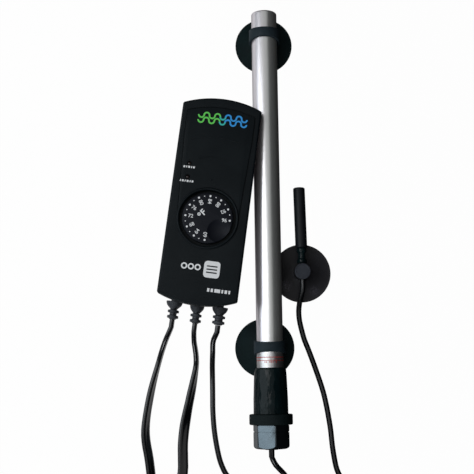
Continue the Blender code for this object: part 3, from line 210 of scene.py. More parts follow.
def settle(piece, unit, place=ORIGIN, lie=0):
    """Bakes a piece into its place on a unit; lie -1 lays its upright axis along +Y, 1 along -Y."""
    origin, turn = UNITS[unit]
    piece.matrix_world = (Matrix.Translation(origin) @ Matrix.Rotation(turn, 4, "Z")
                          @ Matrix.Translation(place) @ Matrix.Rotation(lie * math.pi / 2, 4, "X"))
    bake_place(piece)


def twin(piece, name):
    """A copy with its own mesh."""
    copy = piece.copy()
    copy.data = piece.data.copy()
    copy.name = copy.data.name = name
    bpy.context.scene.collection.objects.link(copy)
    return copy


def named(name):
    piece = bpy.context.object
    piece.name = piece.data.name = name
    return piece


def new_block(name, low, high):
    low, high = Vector(low), Vector(high)
    unpick()
    bpy.ops.mesh.primitive_cube_add(size=1, location=(low + high) / 2, scale=high - low)
    block = named(name)
    bake_place(block)
    return block


def new_drum(name, radius, low, high, place=(0, 0), sides=96):
    unpick()
    bpy.ops.mesh.primitive_cylinder_add(vertices=sides, radius=radius, depth=high - low,
                                        location=(*place, (low + high) / 2))
    drum = named(name)
    bake_place(drum)
    return drum


def drill(piece, radius, low, high, place=(0, 0), sides=96, operation="DIFFERENCE"):
    """A Boolean with an upright round tool."""
    carve(piece, new_drum("drill", radius, low, high, place, sides), operation)


def turned(name, profile, sides=96, closed=False):
    """Drawn up ring by ring from a circle; the profile lists (radius, height), or two radii of an oval."""
    rows = [row if len(row) == 3 else (row[0], row[0], row[1]) for row in profile]
    across, along, height = rows[0]
    unpick()
    bpy.ops.mesh.primitive_circle_add(vertices=sides, radius=across, location=(0, 0, height),
                                      fill_type="NOTHING" if closed else "NGON")
    piece = named(name)
    bake_place(piece)
    begin_edit(piece, "EDGE" if closed else "FACE")
    mark_all()
    bpy.ops.transform.resize(value=(1, along / across, 1), center_override=(0, 0, height))
    for before, after in zip(rows, rows[1:]):
        bpy.ops.mesh.extrude_region_move(TRANSFORM_OT_translate={"value": (0, 0, after[2] - before[2])})
        bpy.ops.transform.resize(value=(after[0] / before[0], after[1] / before[1], 1),
                                 center_override=(0, 0, after[2]))
    if closed:
        mark_edges(piece, lambda middle, run: False)
        form = bmesh.from_edit_mesh(piece.data)
        for edge in form.edges:
            edge.select_set(edge.is_boundary)
        bmesh.update_edit_mesh(piece.data)
        bpy.ops.mesh.bridge_edge_loops()
    mark_all()
    bpy.ops.mesh.normals_make_consistent(inside=False)
    end_edit()
    return piece


def new_ring(name, inner, outer, low, high, sides):
    return turned(name, [(inner, low), (outer, low), (outer, high), (inner, high)], sides, closed=True)


def quarter(radius, height, size, start, end, steps):
    """Profile points of a rounded corner, whose arc is centred at (radius, height)."""
    angles = [math.radians(start + (end - start) * i / steps) for i in range(steps + 1)]
    return [(radius + size * math.cos(a), height + size * math.sin(a)) for a in angles]


# ---------------- materials

class Wire:
    """A socket with arithmetic: an expression adds the Math nodes that work it out."""

    def __init__(self, finish, socket):
        self.finish, self.socket = finish, socket

    def math(self, operation, first, second):
        return self.finish.node("Math", {0: first, 1: second}, operation=operation)

    def __add__(self, other):
        return self.math("ADD", self, other)

    def __mul__(self, other):
        return self.math("MULTIPLY", self, other)

    def __rsub__(self, other):
        return self.math("SUBTRACT", other, self)

    __radd__ = __add__

    def over(self, low, high):
        """0 below low, 1 above high, smooth between them."""
        return self.finish.node("MapRange", {"Value": self, "From Min": low, "From Max": high},
                                interpolation_type="SMOOTHSTEP")

    def between(self, low, high, first, second):
        """The first colour below low, the second above high."""
        return self.finish.blend(self.over(low, high), first, second)


class Finish:
    """One material, whose nodes come from one method."""

    def __init__(self, name, shine, numbers=()):
        self.material = bpy.data.materials.new(name)
        self.material.use_nodes = True
        self.tree = self.material.node_tree
        self.surface = self.tree.nodes["Principled BSDF"]
        for socket, value in (("Specular IOR Level", shine), *numbers):
            self.feed(self.surface.inputs[socket], value)

    def feed(self, socket, value):
        if isinstance(value, Wire):
            self.tree.links.new(value.socket, socket)
        else:
            socket.default_value = (*value, 1) if socket.type == "RGBA" else value

    def node(self, kind, inputs=None, output=0, **settings):
        made = self.tree.nodes.new(f"ShaderNode{kind}")
        for name, value in settings.items():
            setattr(made, name, value)
        for name, value in (inputs or {}).items():
            self.feed(made.inputs[name], value)
        return Wire(self, made.outputs[output])

    def place(self, stretch=(1, 1, 1), turn=0.0, centre=ORIGIN):
        return self.node("Mapping", {"Vector": self.node("TexCoord", output="Object"), "Location": centre,
                                     "Rotation": (0, 0, turn), "Scale": stretch}, vector_type="TEXTURE")

    def noise(self, scale, detail, rough, **place):
        return self.node("TexNoise", {"Vector": self.place(**place), "Scale": scale, "Detail": detail,
                                      "Roughness": rough})

    def blend(self, factor, first, second):
        return self.node("Mix", {0: factor, 6: first, 7: second}, 2, data_type="RGBA")

    def bump(self, height, distance, strength):
        return self.node("Bump", {"Height": height, "Distance": distance, "Strength": strength})

    def look(self, colour, rough, relief=None):
        """Feeds the surface, and hands over the material."""
        for socket, value in (("Base Color", colour), ("Roughness", rough), ("Normal", relief)):
            if value is not None:
                self.feed(self.surface.inputs[socket], value)
        return self.material


def moulded_plastic(name, dark, light, rough, shine=0.18, grain=0.00003):
    """Satin moulded plastic: a fine spark-eroded grain, faint flow marks and handling haze."""
    made = Finish(name, shine)
    haze, fine = made.noise(38, 4, 0.6), made.noise(2600, 2, 0.6)
    return made.look(haze.between(0.35, 0.7, dark, light), rough - 0.05 + haze * 0.08 + fine * 0.05,
                     made.bump(fine, grain, 0.6))


def soft_rubber(name, dark, light, rough, shine=0.10):
    """Matt rubber, bloomed in cloudy patches."""
    made = Finish(name, shine)
    cloud, dust = made.noise(110, 5, 0.6), made.noise(1500, 2, 0.5)
    return made.look(cloud.between(0.35, 0.75, dark, light), rough - 0.06 + cloud * 0.12,
                     made.bump(dust + cloud * 2, 0.00004, 0.6))


def rubber_painted_glints():
    """The probe cup's rubber: near black, with two speckled patches of painted highlight, standing in for
    lamp glints, on the side of its foot.
    """
    made = Finish("rubber_painted_glints", 0.30)
    cloud, speckle = made.noise(110, 5, 0.6), made.noise(1500, 3, 0.6)
    glint_patch = 0
    # Painted highlight: each patch is a lighter colour where a lamp's glint falls; the left one is weighted
    # more, so that it still shows in the tube's shadow.
    for centre, share in (((0.0542, -0.0564, 0.0), 2.2), ((0.0740, -0.0603, 0.0), 1.2)):
        reach = made.node("VectorMath", {0: made.place(stretch=(1, 1, 4), centre=centre)}, "Value",
                          operation="LENGTH")
        glint_patch = glint_patch + (1 - reach.over(0.0010, 0.0058)) * share
    painted_glint = glint_patch * speckle.over(0.44, 0.66)
    plain = cloud.between(0.35, 0.75, (0.0062, 0.0062, 0.0090), (0.0105, 0.0105, 0.0140))
    return made.look(made.blend(painted_glint * 0.5, plain, (0.085, 0.080, 0.105)), 0.42 + cloud * 0.10,
                     made.bump(speckle + cloud * 2, 0.00006, 0.7))


def glossy_nut():
    """Glossy nylon, with the slow unevenness of a moulded flat in its shine."""
    made = Finish("glossy_nylon", 1.0, (("Specular Tint", (0.70, 0.88, 1.0)), ("IOR", 1.7)))
    haze, waves = made.noise(260, 4, 0.6), made.noise(150, 1, 0.5, stretch=(1, 2.0, 1))
    return made.look(haze.between(0.35, 0.7, (0.0008, 0.0010, 0.0016), (0.0018, 0.0022, 0.0030)),
                     0.10 + haze * 0.16, made.bump(waves, 0.00015, 0.6))


def brushed_metal():
    """Fine drawn lines along the tube, faint streaks and finger haze, and painted shade across it: lighter
    and pinker on the left, darker and greener on the right.
    """
    made = Finish("brushed_titanium_painted_shade", 0.3, (("Metallic", 0.83),))
    turn = UNITS["heater"][1]
    lines = made.noise(900, 3, 0.7, stretch=(1, 60, 1), turn=turn)
    streaks = made.noise(140, 3, 0.6, stretch=(1, 30, 1), turn=turn)
    haze = made.noise(45, 3, 0.5)
    # Painted shade: the base colour runs from lighter and pinker on the tube's left to darker and greener on
    # its right.
    across = made.node("SeparateXYZ", {0: made.place(turn=turn, centre=(0.0403, 0, 0))})
    painted_shade_tint = across.between(-0.007, 0.004, (0.69, 0.65, 0.69), (0.60, 0.62, 0.60))
    painted_shade_falloff = across.between(-0.007, 0.004, (0.76, 0.73, 0.76), (0.67, 0.69, 0.67))
    return made.look(streaks.between(0.3, 0.75, painted_shade_tint, painted_shade_falloff), 0.25 + lines * 0.08 + haze * 0.06,
                     made.bump(lines, 0.00002, 0.5))


def plain_metal(name, first, second, rough):
    made = Finish(name, 0.5, (("Metallic", 1.0),))
    tarnish = made.noise(300, 4, 0.6)
    return made.look(tarnish.between(0.35, 0.7, first, second), rough + tarnish * 0.12)


def cord_skin():
    """Extruded vinyl with a fine grain, and a soft polish that comes and goes."""
    made = Finish("cord_skin", 0.55)
    cloud, fine = made.noise(60, 4, 0.6), made.noise(1800, 2, 0.5)
    return made.look(cloud.between(0.35, 0.7, (0.0012, 0.0016, 0.0024), (0.0030, 0.0036, 0.0048)),
                     0.18 + cloud * 0.09, made.bump(fine, 0.000008, 0.4))


def shrunk_film():
    """Glossy heat-shrink, with the slow waves that shrinking leaves."""
    made = Finish("shrunk_film", 0.12)
    waves = made.noise(210, 2, 0.5, stretch=(1, 2.2, 1))
    return made.look(waves.between(0.3, 0.7, (0.0022, 0.0068, 0.0080), (0.0036, 0.0098, 0.0112)),
                     0.12 + waves * 0.10, made.bump(waves, 0.0010, 0.7))


def printed_ink(name, colour):
    made = Finish(name, 0.4)
    speckle = made.noise(2200, 3, 0.6)
    dull = [0.8 * part for part in colour]
    return made.look(speckle.between(0.45, 0.75, colour, dull), 0.5 + speckle * 0.1)


FINISHES = {
    "front": moulded_plastic("front_plastic", (0.0020, 0.0044, 0.0060), (0.0042, 0.0070, 0.0088), 0.46, 0.11),
    "rear": moulded_plastic("rear_plastic", (0.0022, 0.0034, 0.0046), (0.0042, 0.0056, 0.0070), 0.52, 0.11),
    "dial": moulded_plastic("dial_plastic", (0.0056, 0.0068, 0.0108), (0.0090, 0.0104, 0.0146), 0.46, 0.11),
    "relief": soft_rubber("relief_rubber", (0.026, 0.029, 0.034), (0.042, 0.046, 0.052), 0.50, 0.25),
    "cup": soft_rubber("cup_rubber", (0.0020, 0.0080, 0.0090), (0.0042, 0.0125, 0.0135), 0.56, 0.08),
    "probe_cup": rubber_painted_glints(),
    "clip": soft_rubber("clip_rubber", (0.014, 0.023, 0.029), (0.021, 0.031, 0.038), 0.52),
    "collar": soft_rubber("collar_rubber", (0.0045, 0.0088, 0.0096), (0.0090, 0.0140, 0.0150), 0.66),
    "capsule": moulded_plastic("capsule_plastic", (0.0040, 0.0052, 0.0074), (0.0072, 0.0088, 0.0114), 0.44),
    "knob": soft_rubber("knob_rubber", (0.026, 0.029, 0.037), (0.040, 0.044, 0.053), 0.70),
    "nut": glossy_nut(),
    "cord": cord_skin(),
    "film": shrunk_film(),
    "titanium": brushed_metal(),
    "print_silver": plain_metal("print_silver", (0.55, 0.55, 0.56), (0.66, 0.66, 0.67), 0.32),
    "steel": plain_metal("screw_steel", (0.60, 0.60, 0.58), (0.72, 0.72, 0.70), 0.28),
    "brass": plain_metal("blade_brass", (0.74, 0.58, 0.30), (0.82, 0.68, 0.40), 0.22),
    "board": moulded_plastic("board_lacquer", (0.020, 0.120, 0.050), (0.030, 0.170, 0.070), 0.35),
    "component": moulded_plastic("component_resin", (0.020, 0.020, 0.022), (0.040, 0.040, 0.044), 0.45),
    "copper": plain_metal("winding_copper", (0.60, 0.28, 0.14), (0.72, 0.38, 0.22), 0.25),
    "ceramic": moulded_plastic("fired_ceramic", (0.70, 0.66, 0.58), (0.80, 0.77, 0.70), 0.60),
    "lens": moulded_plastic("lamp_lens", (0.012, 0.006, 0.006), (0.020, 0.009, 0.009), 0.20, 0.4, 0.00001),
    "nylon": moulded_plastic("tie_nylon", (0.020, 0.020, 0.021), (0.030, 0.030, 0.032), 0.45),
    "white_ink": printed_ink("white_ink", (0.78, 0.79, 0.80)),
    "green_ink": printed_ink("green_ink", (0.12, 0.62, 0.09)),
    "teal_ink": printed_ink("teal_ink", (0.03, 0.48, 0.42)),
    "blue_ink": printed_ink("blue_ink", (0.02, 0.30, 0.74)),
    "red_ink": printed_ink("red_ink", (0.45, 0.04, 0.03)),
}


def dress(piece, body, finish, *nodes):
    """Gives a finished piece its material, its body and the nodes that it stands for."""
    piece.data.materials.clear()
    piece.data.materials.append(FINISHES[finish])
    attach(piece, body)
    if nodes:
        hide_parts(*nodes)


def complete(piece, angle, seat, body, finish, *nodes):
    """Smooths a piece, bakes it into its seat (unit, place, lie) and dresses it."""
    smooth(piece, angle)
    settle(piece, *seat)
    dress(piece, body, finish, *nodes)


def refinish(finish, *nodes):
    for node in nodes:
        for slot in bpy.data.objects[node].material_slots:
            slot.material = FINISHES[finish]


# ---------------- cords

def smooth_route(points, spacing):
    """Evenly spaced points on a smooth curve through the chosen ones, between two straight ends."""
    chosen = [Vector(point) for point in points]
    fine = []
    for before, start, end, after in zip(chosen, chosen[1:], chosen[2:], chosen[3:]):
        for i in range(ROUTE_SAMPLES):
            t = i / ROUTE_SAMPLES
            fine.append(0.5 * (2 * start + (end - before) * t
                               + (2 * before - 5 * start + 4 * end - after) * t ** 2
                               + (3 * start - before - 3 * end + after) * t ** 3))
    fine.append(chosen[-2])
    lengths = [0.0]
    for a, b in zip(fine, fine[1:]):
        lengths.append(lengths[-1] + (b - a).length)
    steps = max(2, round(lengths[-1] / spacing))
    even, index = [], 0
    for i in range(steps + 1):
        target = lengths[-1] * i / steps
        while index < len(fine) - 2 and lengths[index + 1] < target:
            index += 1
        share = (target - lengths[index]) / (lengths[index + 1] - lengths[index])
        even.append(fine[index].lerp(fine[index + 1], min(max(share, 0.0), 1.0)))
    return [chosen[0]] + even + [chosen[-1]]


def coil_end(name, at_end, beyond=END_GAP):
    """The point just past one of a coil's straight ends; a whole count of loops ends running down."""
    coil = COILS[name]
    whole = coil["loops"] % 1 == 0
    side = 1 if at_end and not whole else -1
    way = -1 if at_end and whole else 1
    centre_x, centre_y = coil["centre"]
    return (centre_x + side * coil["radius"], centre_y + way * (COIL_LEAD + beyond),
            coil["heights"][1 if at_end else 0])


def cord_solid(name):
    """How thick the cord's round solid is."""
    return PROBE_CORD if name == "probe" else FLAT_SOLID


def coil_route(name, per_loop=40):
    """Turns that spiral in on the lower layer, climb half a turn, and spiral out on the upper."""
    coil = COILS[name]
    centre_x, centre_y = coil["centre"]
    loops, (low, high) = coil["loops"], coil["heights"]
    pitch = cord_solid(name) + COIL_GAP
    points = [Vector(coil_end(name, False, 0.0))]
    steps = round(loops * per_loop)
    for i in range(steps + 1):
        turn = i / per_loop
        radius = coil["radius"] - pitch * min(turn, loops - turn)
        climb = min(max((turn - loops / 2) * 2 + 0.5, 0.0), 1.0)
        climb = climb * climb * (3 - 2 * climb)
        angle = math.pi + 2 * math.pi * turn
        points.append(Vector((centre_x + radius * math.cos(angle), centre_y + radius * math.sin(angle),
                              low + (high - low) * climb)))
    points.append(Vector(coil_end(name, True, 0.0)))
    return points


def unit_point(unit, x, y, z):
    origin, turn = UNITS[unit]
    return tuple(Matrix.Translation(origin) @ Matrix.Rotation(turn, 4, "Z") @ Vector((x, y, z)))


def flat_section():
    """The flat cord's outline: two round cores side by side, with a slight waist between them."""
    half, reach = FLAT_THICKNESS / 2, (FLAT_WIDTH - FLAT_THICKNESS) / 2
    outline = []
    for side in (1, -1):
        for i in range(9):
            angle = math.radians(-90 + 180 * i / 8)
            outline.append((side * (reach + half * math.cos(angle)), side * half * math.sin(angle)))
        for share, waist in ((0.5, 0.00006), (0.0, 0.00022), (-0.5, 0.00006)):
            outline.append((side * reach * share, side * (half - waist)))
    return outline


def round_section(radius, count=20):
    return [(radius * math.cos(2 * math.pi * i / count), radius * math.sin(2 * math.pi * i / count))
            for i in range(count)]


def twist_at(distance, keys):
    """Degrees that the cord has turned at a distance along it."""
    for (before, first), (after, last) in zip(keys, keys[1:]):
        if distance <= after:
            share = min(max((distance - before) / (after - before), 0.0), 1.0)
            return first + (last - first) * share * share * (3 - 2 * share)
    return keys[-1][1]


def sweep(name, path, section, keys):
    """A cord's skin: its section carried along the path and turned about it."""
    form = bmesh.new()
    rows, travelled = [], 0.0
    for i, point in enumerate(path):
        if i:
            travelled += (point - path[i - 1]).length
        run = (path[min(i + 1, len(path) - 1)] - path[max(i - 1, 0)]).normalized()
        side = run.cross(Vector((0, 0, 1))).normalized()
        up = side.cross(run)
        angle = math.radians(twist_at(travelled, keys))
        wide = side * math.cos(angle) + up * math.sin(angle)
        thin = up * math.cos(angle) - side * math.sin(angle)
        rows.append([form.verts.new(point + wide * x + thin * y) for x, y in section])
    count = len(section)
    for low, high in zip(rows, rows[1:]):
        for i in range(count):
            j = (i + 1) % count
            form.faces.new((low[i], low[j], high[j], high[i]))
    form.faces.new(rows[0])
    form.faces.new(rows[-1])
    bmesh.ops.recalc_face_normals(form, faces=form.faces)
    mesh = bpy.data.meshes.new(name)
    form.to_mesh(mesh)
    form.free()
    cord = bpy.data.objects.new(name, mesh)
    bpy.context.scene.collection.objects.link(cord)
    smooth(cord, 50)
    return cord


def run_length(path):
    return sum((b - a).length for a, b in zip(path, path[1:]))


def settle_heights(path, keys, until):
    """Sets the flat cord on the table: its middle is as high as its turned section needs."""
    low, drawn, ease = 0.0046, 0.0030, 0.4
    travelled = 0.0
    for i, point in enumerate(path):
        if i:
            travelled += (point - path[i - 1]).length
        if point.z < low and travelled < until:
            lean = abs(math.sin(math.radians(twist_at(travelled, keys))))
            need = FLAT_THICKNESS / 2 + (FLAT_WIDTH - FLAT_THICKNESS) / 2 * lean + 0.0001
            point.z = max(need, drawn - ease * (drawn - need))


def relief_seat(x):
    """Where the rear cover's drafted end wall stands beside a cord hole."""
    foot, wall_radius = 0.0053, 0.07107
    reach = max(abs(x) - foot, 0.0)
    return -(TUB_HALF_LENGTH - END_RADIUS + math.sqrt(wall_radius ** 2 - reach ** 2)) - 0.0003


def relief_exit(name, beyond=END_GAP):
    x = RELIEFS[name]
    return unit_point("controller", x, relief_seat(x) - RELIEF_LENGTH - beyond, RELIEF_HEIGHT)


def route(name, steps, lead, tail, spacing):
    """The lead, and the whole cord of lead, coil and tail. A point of two numbers lies on the table."""
    floor = cord_solid(name) / 2 + TABLE_GAP
    at_relief, at_coil = steps
    lead, tail = ([(*point, floor) if len(point) == 2 else point for point in part] for part in (lead, tail))
    lead = smooth_route([relief_exit(name), relief_exit(name, at_relief), *lead,
                         coil_end(name, False, at_coil), coil_end(name, False)], spacing)
    tail = smooth_route([coil_end(name, True), coil_end(name, True, at_coil + END_GAP), *tail], spacing)
    return lead, lead + coil_route(name) + tail


def add_cord(name, steps, lead, tail, turns, far_end, stiffness, *others):
    """Runs one cord; its turns are distance and degrees, where a distance below 0 counts from the far end."""
    flat = name != "probe"
    section = flat_section() if flat else round_section(PROBE_CORD / 2)
    diameter, spacing = (FLAT_WIDTH, 0.004) if flat else (PROBE_CORD, 0.003)
    lead, path = route(name, steps, lead, tail, spacing)
    whole = run_length(path)
    keys = [(whole + at if at < 0 else at, degrees) for at, degrees in turns]
    if flat:
        settle_heights(path, keys, run_length(lead) - spacing)
    cord = sweep(f"{name}_cord_run", path, section, keys)
    dress(cord, "root", "cord", f"{name}_cord", f"{name}_coil", f"{name}_tail")
    run_length(path)
    print(name, "cord", round(run_length(path), 4), "m,", len(path), "points")


def add_cords():
    x, y, height = coil_end("mains", True)
    add_cord("mains", (FLAT_SOLID, FLAT_SOLID), [
        (-0.0308, -0.0942, 0.0116), (-0.0328, -0.0990, 0.0085), (-0.0354, -0.1065, 0.0052),
        (-0.0386, -0.1180), (-0.0413, -0.1290), (-0.0435, -0.1403), (-0.0451, -0.1514), (-0.0456, -0.1600),
        (-0.0448, -0.1680), (-0.0430, -0.1770), (-0.0413, -0.1890), (-0.0402, -0.2015, 0.0044),
        (-0.0397, -0.2135, 0.0085), (-0.0397, -0.2245, 0.0137), (-0.0398, -0.2345, 0.0180),
    ], [
        (x, y - 0.0140, height - 0.0022), (x, y - 0.0250, height - 0.0082),
        (x, y - 0.0360, PLUG_AXIS + 0.0050), (x, y - 0.0460, PLUG_AXIS + 0.0010),
        (x, y - 0.0560 + FLAT_SOLID, PLUG_AXIS), (x, y - 0.0560, PLUG_AXIS),
    ], [(0, 90), (0.030, 86), (0.065, 62), (0.095, 44), (0.125, 46), (0.165, 90), (-0.055, 90), (-0.015, 0)],
        "plug", "medium", "plug_body", "plug_blade_1", "plug_blade_2")
    add_cord("heater", (FLAT_SOLID, FLAT_SOLID), [
        (-0.0114, -0.0972, 0.0112), (-0.0104, -0.1040, 0.0076), (-0.0101, -0.1123, 0.0044),
        (-0.0118, -0.1235), (-0.0140, -0.1347), (-0.0163, -0.1459), (-0.0182, -0.1570), (-0.0192, -0.1680),
        (-0.0191, -0.1770), (-0.0192, -0.1880), (-0.0225, -0.1995), (-0.0283, -0.2105), (-0.0325, -0.2215),
        (-0.0337, -0.2325, 0.0035),
    ], [
        (0.0592, -0.2250, 0.0098), (0.0590, -0.2120, 0.0088), (0.0568, -0.1985, 0.0090),
        (0.0518, -0.1885, 0.0106), (0.0460, -0.1822, 0.0140),
        unit_point("heater", 0, NUT_END_Y - FLAT_SOLID, TUBE_AXIS),
        unit_point("heater", 0, NUT_END_Y, TUBE_AXIS),
    ], [(0, 90), (0.028, 84), (0.055, 50), (0.080, 14), (0.115, 5), (0.155, 90), (-0.075, 90), (-0.035, 84)],
        "object", "medium")
    add_cord("probe", (0.0050, 0.0045), [
        (0.0020, -0.0965, 0.0110), (0.0016, -0.1040, 0.0070), (0.0013, -0.1130, 0.0040), (0.0014, -0.1220),
        (0.0016, -0.1340), (0.0018, -0.1459), (0.0030, -0.1600), (0.0054, -0.1736), (0.0080, -0.1825),
        (0.0124, -0.1903), (0.0210, -0.1960), (0.0320, -0.1985), (0.0440, -0.1998), (0.0550, -0.2018),
        (0.0655, -0.2062), (0.0727, -0.2130), (0.0765, -0.2215), (0.0775, -0.2300, 0.0028),
    ], [
        (0.1338, -0.2250, 0.0046), (0.1300, -0.2155), (0.1232, -0.2088), (0.1142, -0.2042),
        (0.1045, -0.2003), (0.0955, -0.1950), (0.0893, -0.1870), (0.0862, -0.1722), (0.0843, -0.1549),
        (0.0804, -0.1340), (0.0749, -0.1165), (0.0697, -0.1023, 0.0027), (0.0669, -0.0953, 0.0030),
        (0.0649, -0.0881, 0.0034), (0.0635, -0.0820, 0.0040), (0.0629, -0.0765, 0.0049),
        (0.0631, -0.0712, 0.0062), (0.0640, -0.0662, 0.0079), (0.0652, -0.0618, 0.0092),
        unit_point("probe", 0, -0.0105, PROBE_AXIS),
        unit_point("probe", 0, BUSHING_END_Y - END_GAP, PROBE_AXIS),
    ], [(0, 0), (1, 0)], "object", "limp")


add_cords()


# ---------------- controller

def housing_form(name, half_width, half_length, end_radius, low, high, corner):
    """A block with straight sides, bowed ends and rounded corners: one half is cut, then mirrored."""
    block = new_block(name, (-half_width, 0, low), (half_width, half_length, high))
    drill(block, end_radius, low - 0.01, high + 0.01, (0, half_length - end_radius), 360, "INTERSECT")
    begin_edit(block, "EDGE")
    mark_edges(block, lambda middle, run: abs(run.z) > 0.9 and middle.y > half_length / 2
               and half_width - 1.2 * corner - 0.0005 < abs(middle.x) < half_width - HAIR)
    bpy.ops.mesh.dissolve_edges(use_verts=True)
    bpy.ops.mesh.select_mode(type="FACE")
    mark_faces(block, lambda middle, normal: normal.y < -0.9)
    bpy.ops.mesh.delete(type="FACE")
    end_edit()
    apply_modifier(block, "MIRROR", use_axis=(False, True, False), use_bisect_axis=(False, False, False))
    begin_edit(block, "EDGE")
    mark_edges(block, lambda middle, run: abs(middle.y) < 1e-6 and abs(run.y) < 0.1)
    bpy.ops.mesh.dissolve_edges(use_verts=True)
    bevel_marked(block, lambda middle, run: abs(run.z) > 0.9 and abs(middle.x) > half_width - HAIR
                 and abs(middle.y) > half_length / 2, corner, 8)
    end_edit()
    make_outward(block)
    return block


def panel_form(name, grow, low, high):
    """The panel's outline: a bowed top, and sides that close in on the dial's surround."""
    half, shoulder_y, top_y, bow_y, foot_radius = 0.0239, 0.045, 0.080, -0.0051, 0.0211
    top = new_block(name, (-half - grow, shoulder_y, low), (half + grow, top_y, high))
    drill(top, END_RADIUS + grow, low - 0.01, high + 0.01, (0, bow_y), 360, "INTERSECT")
    foot = new_drum("foot", foot_radius + grow, low, high, (0, DIAL_Y), 128)
    pick(top, foot)
    bpy.ops.object.join()
    begin_edit(top, "VERT")
    mark_all()
    bpy.ops.mesh.delete(type="EDGE_FACE")
    mark_all()
    bpy.ops.mesh.convex_hull()
    mark_all()
    bpy.ops.mesh.dissolve_limited(angle_limit=math.radians(0.2))
    end_edit()
    make_outward(top)
    return top


def add_front():
    """The moulded front: a hollow shell with the dial's well, a panel in a groove, and lamp holes."""
    above = FRONT_FACE + 0.01
    cover = housing_form("front_cover_shell", HALF_WIDTH, HALF_LENGTH, END_RADIUS, SKIRT_BOTTOM, FRONT_FACE,
                         0.0011)
    begin_edit(cover, "EDGE")
    bevel_marked(cover, lambda middle, run: middle.z > FRONT_FACE - HAIR, 0.0015, 6)
    end_edit()
    carve(cover, housing_form("hollow", HALF_WIDTH - WALL, HALF_LENGTH - WALL, END_RADIUS - WALL,
                              SKIRT_BOTTOM - 0.002, FRONT_FACE - WALL, 0.0020))
    carve(cover, panel_form("groove", 0.00045, FRONT_FACE - 0.0005, FRONT_FACE + 0.002))
    # The dial's well: its wall, its hollow and the hole for the shaft's neck
    drill(cover, WELL_RADIUS + 0.0018, WELL_BOTTOM - 0.0016, FRONT_FACE - 0.0010, (0, DIAL_Y), 128, "UNION")
    drill(cover, WELL_RADIUS, WELL_BOTTOM, above, (0, DIAL_Y), 128)
    drill(cover, 0.0038, WELL_BOTTOM - 0.004, FRONT_FACE, (0, DIAL_Y), 32)
    panel = panel_form("front_panel", 0.0, FRONT_FACE - 0.0012, PANEL_TOP)
    round_edges(panel, 0.00035, 3, 40)
    drill(panel, WELL_RADIUS + 0.0004, WELL_BOTTOM, above, (0, DIAL_Y), 128)
    for place in LAMPS:
        for piece in (cover, panel):
            drill(piece, 0.0016, FRONT_FACE - 0.005, above, place, 40)
    crown, outer = FRONT_FACE + 0.0014, 0.0217
    middle, half = (WELL_RADIUS + outer) / 2, (outer - WELL_RADIUS) / 2
    arc = quarter(middle, crown - half, half, 0, 180, 12)
    lip = turned("dial_surround", [(outer, FRONT_FACE - 0.0008), *arc, (WELL_RADIUS, WELL_BOTTOM + 0.0002)],
                 160, closed=True)
    lay(lip, (0, DIAL_Y, 0))
    for piece in (cover, panel, lip):
        complete(piece, 32, ("controller",), "root", "front", "front_cover")


def arc_through(first, middle, last):
    """The centre and radius of the arc through three points."""
    (ax, ay), (bx, by), (cx, cy) = first, middle, last
    a, b, c = ax * ax + ay * ay, bx * bx + by * by, cx * cx + cy * cy
    d = 2 * (ax * (by - cy) + bx * (cy - ay) + cx * (ay - by))
    x = (a * (by - cy) + b * (cy - ay) + c * (ay - by)) / d
    y = (a * (cx - bx) + b * (ax - cx) + c * (bx - ax)) / d
    return (x, y), math.hypot(ax - x, ay - y)


def add_ridges():
    """Two low moulded arcs across the panel, cut from turned rings."""
    half, base, side, top = 0.00055, PANEL_TOP - 0.0002, PANEL_TOP + 0.0002, PANEL_TOP + 0.0003
    for name, ends in (("upper_ridge", ((-0.0187, 0.0416), (-0.0040, 0.0447), (0.0142, 0.0428))),
                       ("lower_ridge", ((-0.0111, 0.0289), (-0.0030, 0.0303), (0.0077, 0.0293)))):
        (x, y), radius = arc_through(*ends)
        ring = turned(name, [(radius + half, base), (radius + half * 0.7, side), (radius, top),
                             (radius - half * 0.7, side), (radius - half, base)], 720, closed=True)
        lay(ring, (x, y, 0))
        cut_off(ring, (ends[0][0], 0, 0), (-1, 0, 0))
        cut_off(ring, (ends[2][0], 0, 0), (1, 0, 0))
        cut_off(ring, (0, y, 0), (0, -1, 0))
        complete(ring, 50, ("controller",), "root", "front", "front_cover")


def add_rear():
    """The rear tub: drafted walls with well-rounded corners under a full-width flange."""
    tub = housing_form("rear_cover_tub", TUB_HALF_WIDTH, TUB_HALF_LENGTH, END_RADIUS, 0.0, TUB_DEPTH, 0.0100)
    begin_edit(tub)
    mark_faces(tub, lambda middle, normal: middle.z < HAIR)
    bpy.ops.transform.resize(value=(1 - DRAFT / TUB_HALF_WIDTH, 1 - DRAFT / TUB_HALF_LENGTH, 1),
                             center_override=ORIGIN)
    bpy.ops.mesh.select_mode(type="EDGE")
    bevel_marked(tub, lambda middle, run: middle.z < HAIR, 0.0010, 3)
    end_edit()
    flange = housing_form("flange", HALF_WIDTH, HALF_LENGTH, END_RADIUS, TUB_DEPTH, FLANGE_TOP, 0.0011)
    round_edges(flange, 0.00025, 2, 50)
    carve(tub, new_block("overlap", (-0.01, -0.01, TUB_DEPTH - 0.001), (0.01, 0.01, TUB_DEPTH + 0.0005)),
          "UNION")
    carve(tub, flange, "UNION")
    inset = WALL + 0.0016
    carve(tub, housing_form("hollow", TUB_HALF_WIDTH - inset, TUB_HALF_LENGTH - inset, END_RADIUS - inset,
                            0.0020, FLANGE_TOP + 0.002, 0.0070))
    # Each cover screw's tower, with the seat for its head and its hole
    for x in (-0.0140, 0.0140):
        for y in (-0.0525, 0.0525):
            drill(tub, 0.0040, 0.0010, 0.0130, (x, y), 40, "UNION")
            drill(tub, 0.0031, -0.001, 0.0027, (x, y), 40)
            drill(tub, 0.0018, 0.001, 0.0150, (x, y), 32)
    for x in RELIEFS.values():
        hole = turned("cord_hole", [(0.0028, 0.0043, 0.0), (0.0028, 0.0043, 0.022)], 40)
        lay(hole, (x, relief_seat(x) + 0.011, RELIEF_HEIGHT), 90)
        carve(tub, hole)
    complete(tub, 32, ("controller",), "root", "rear", "rear_cover")


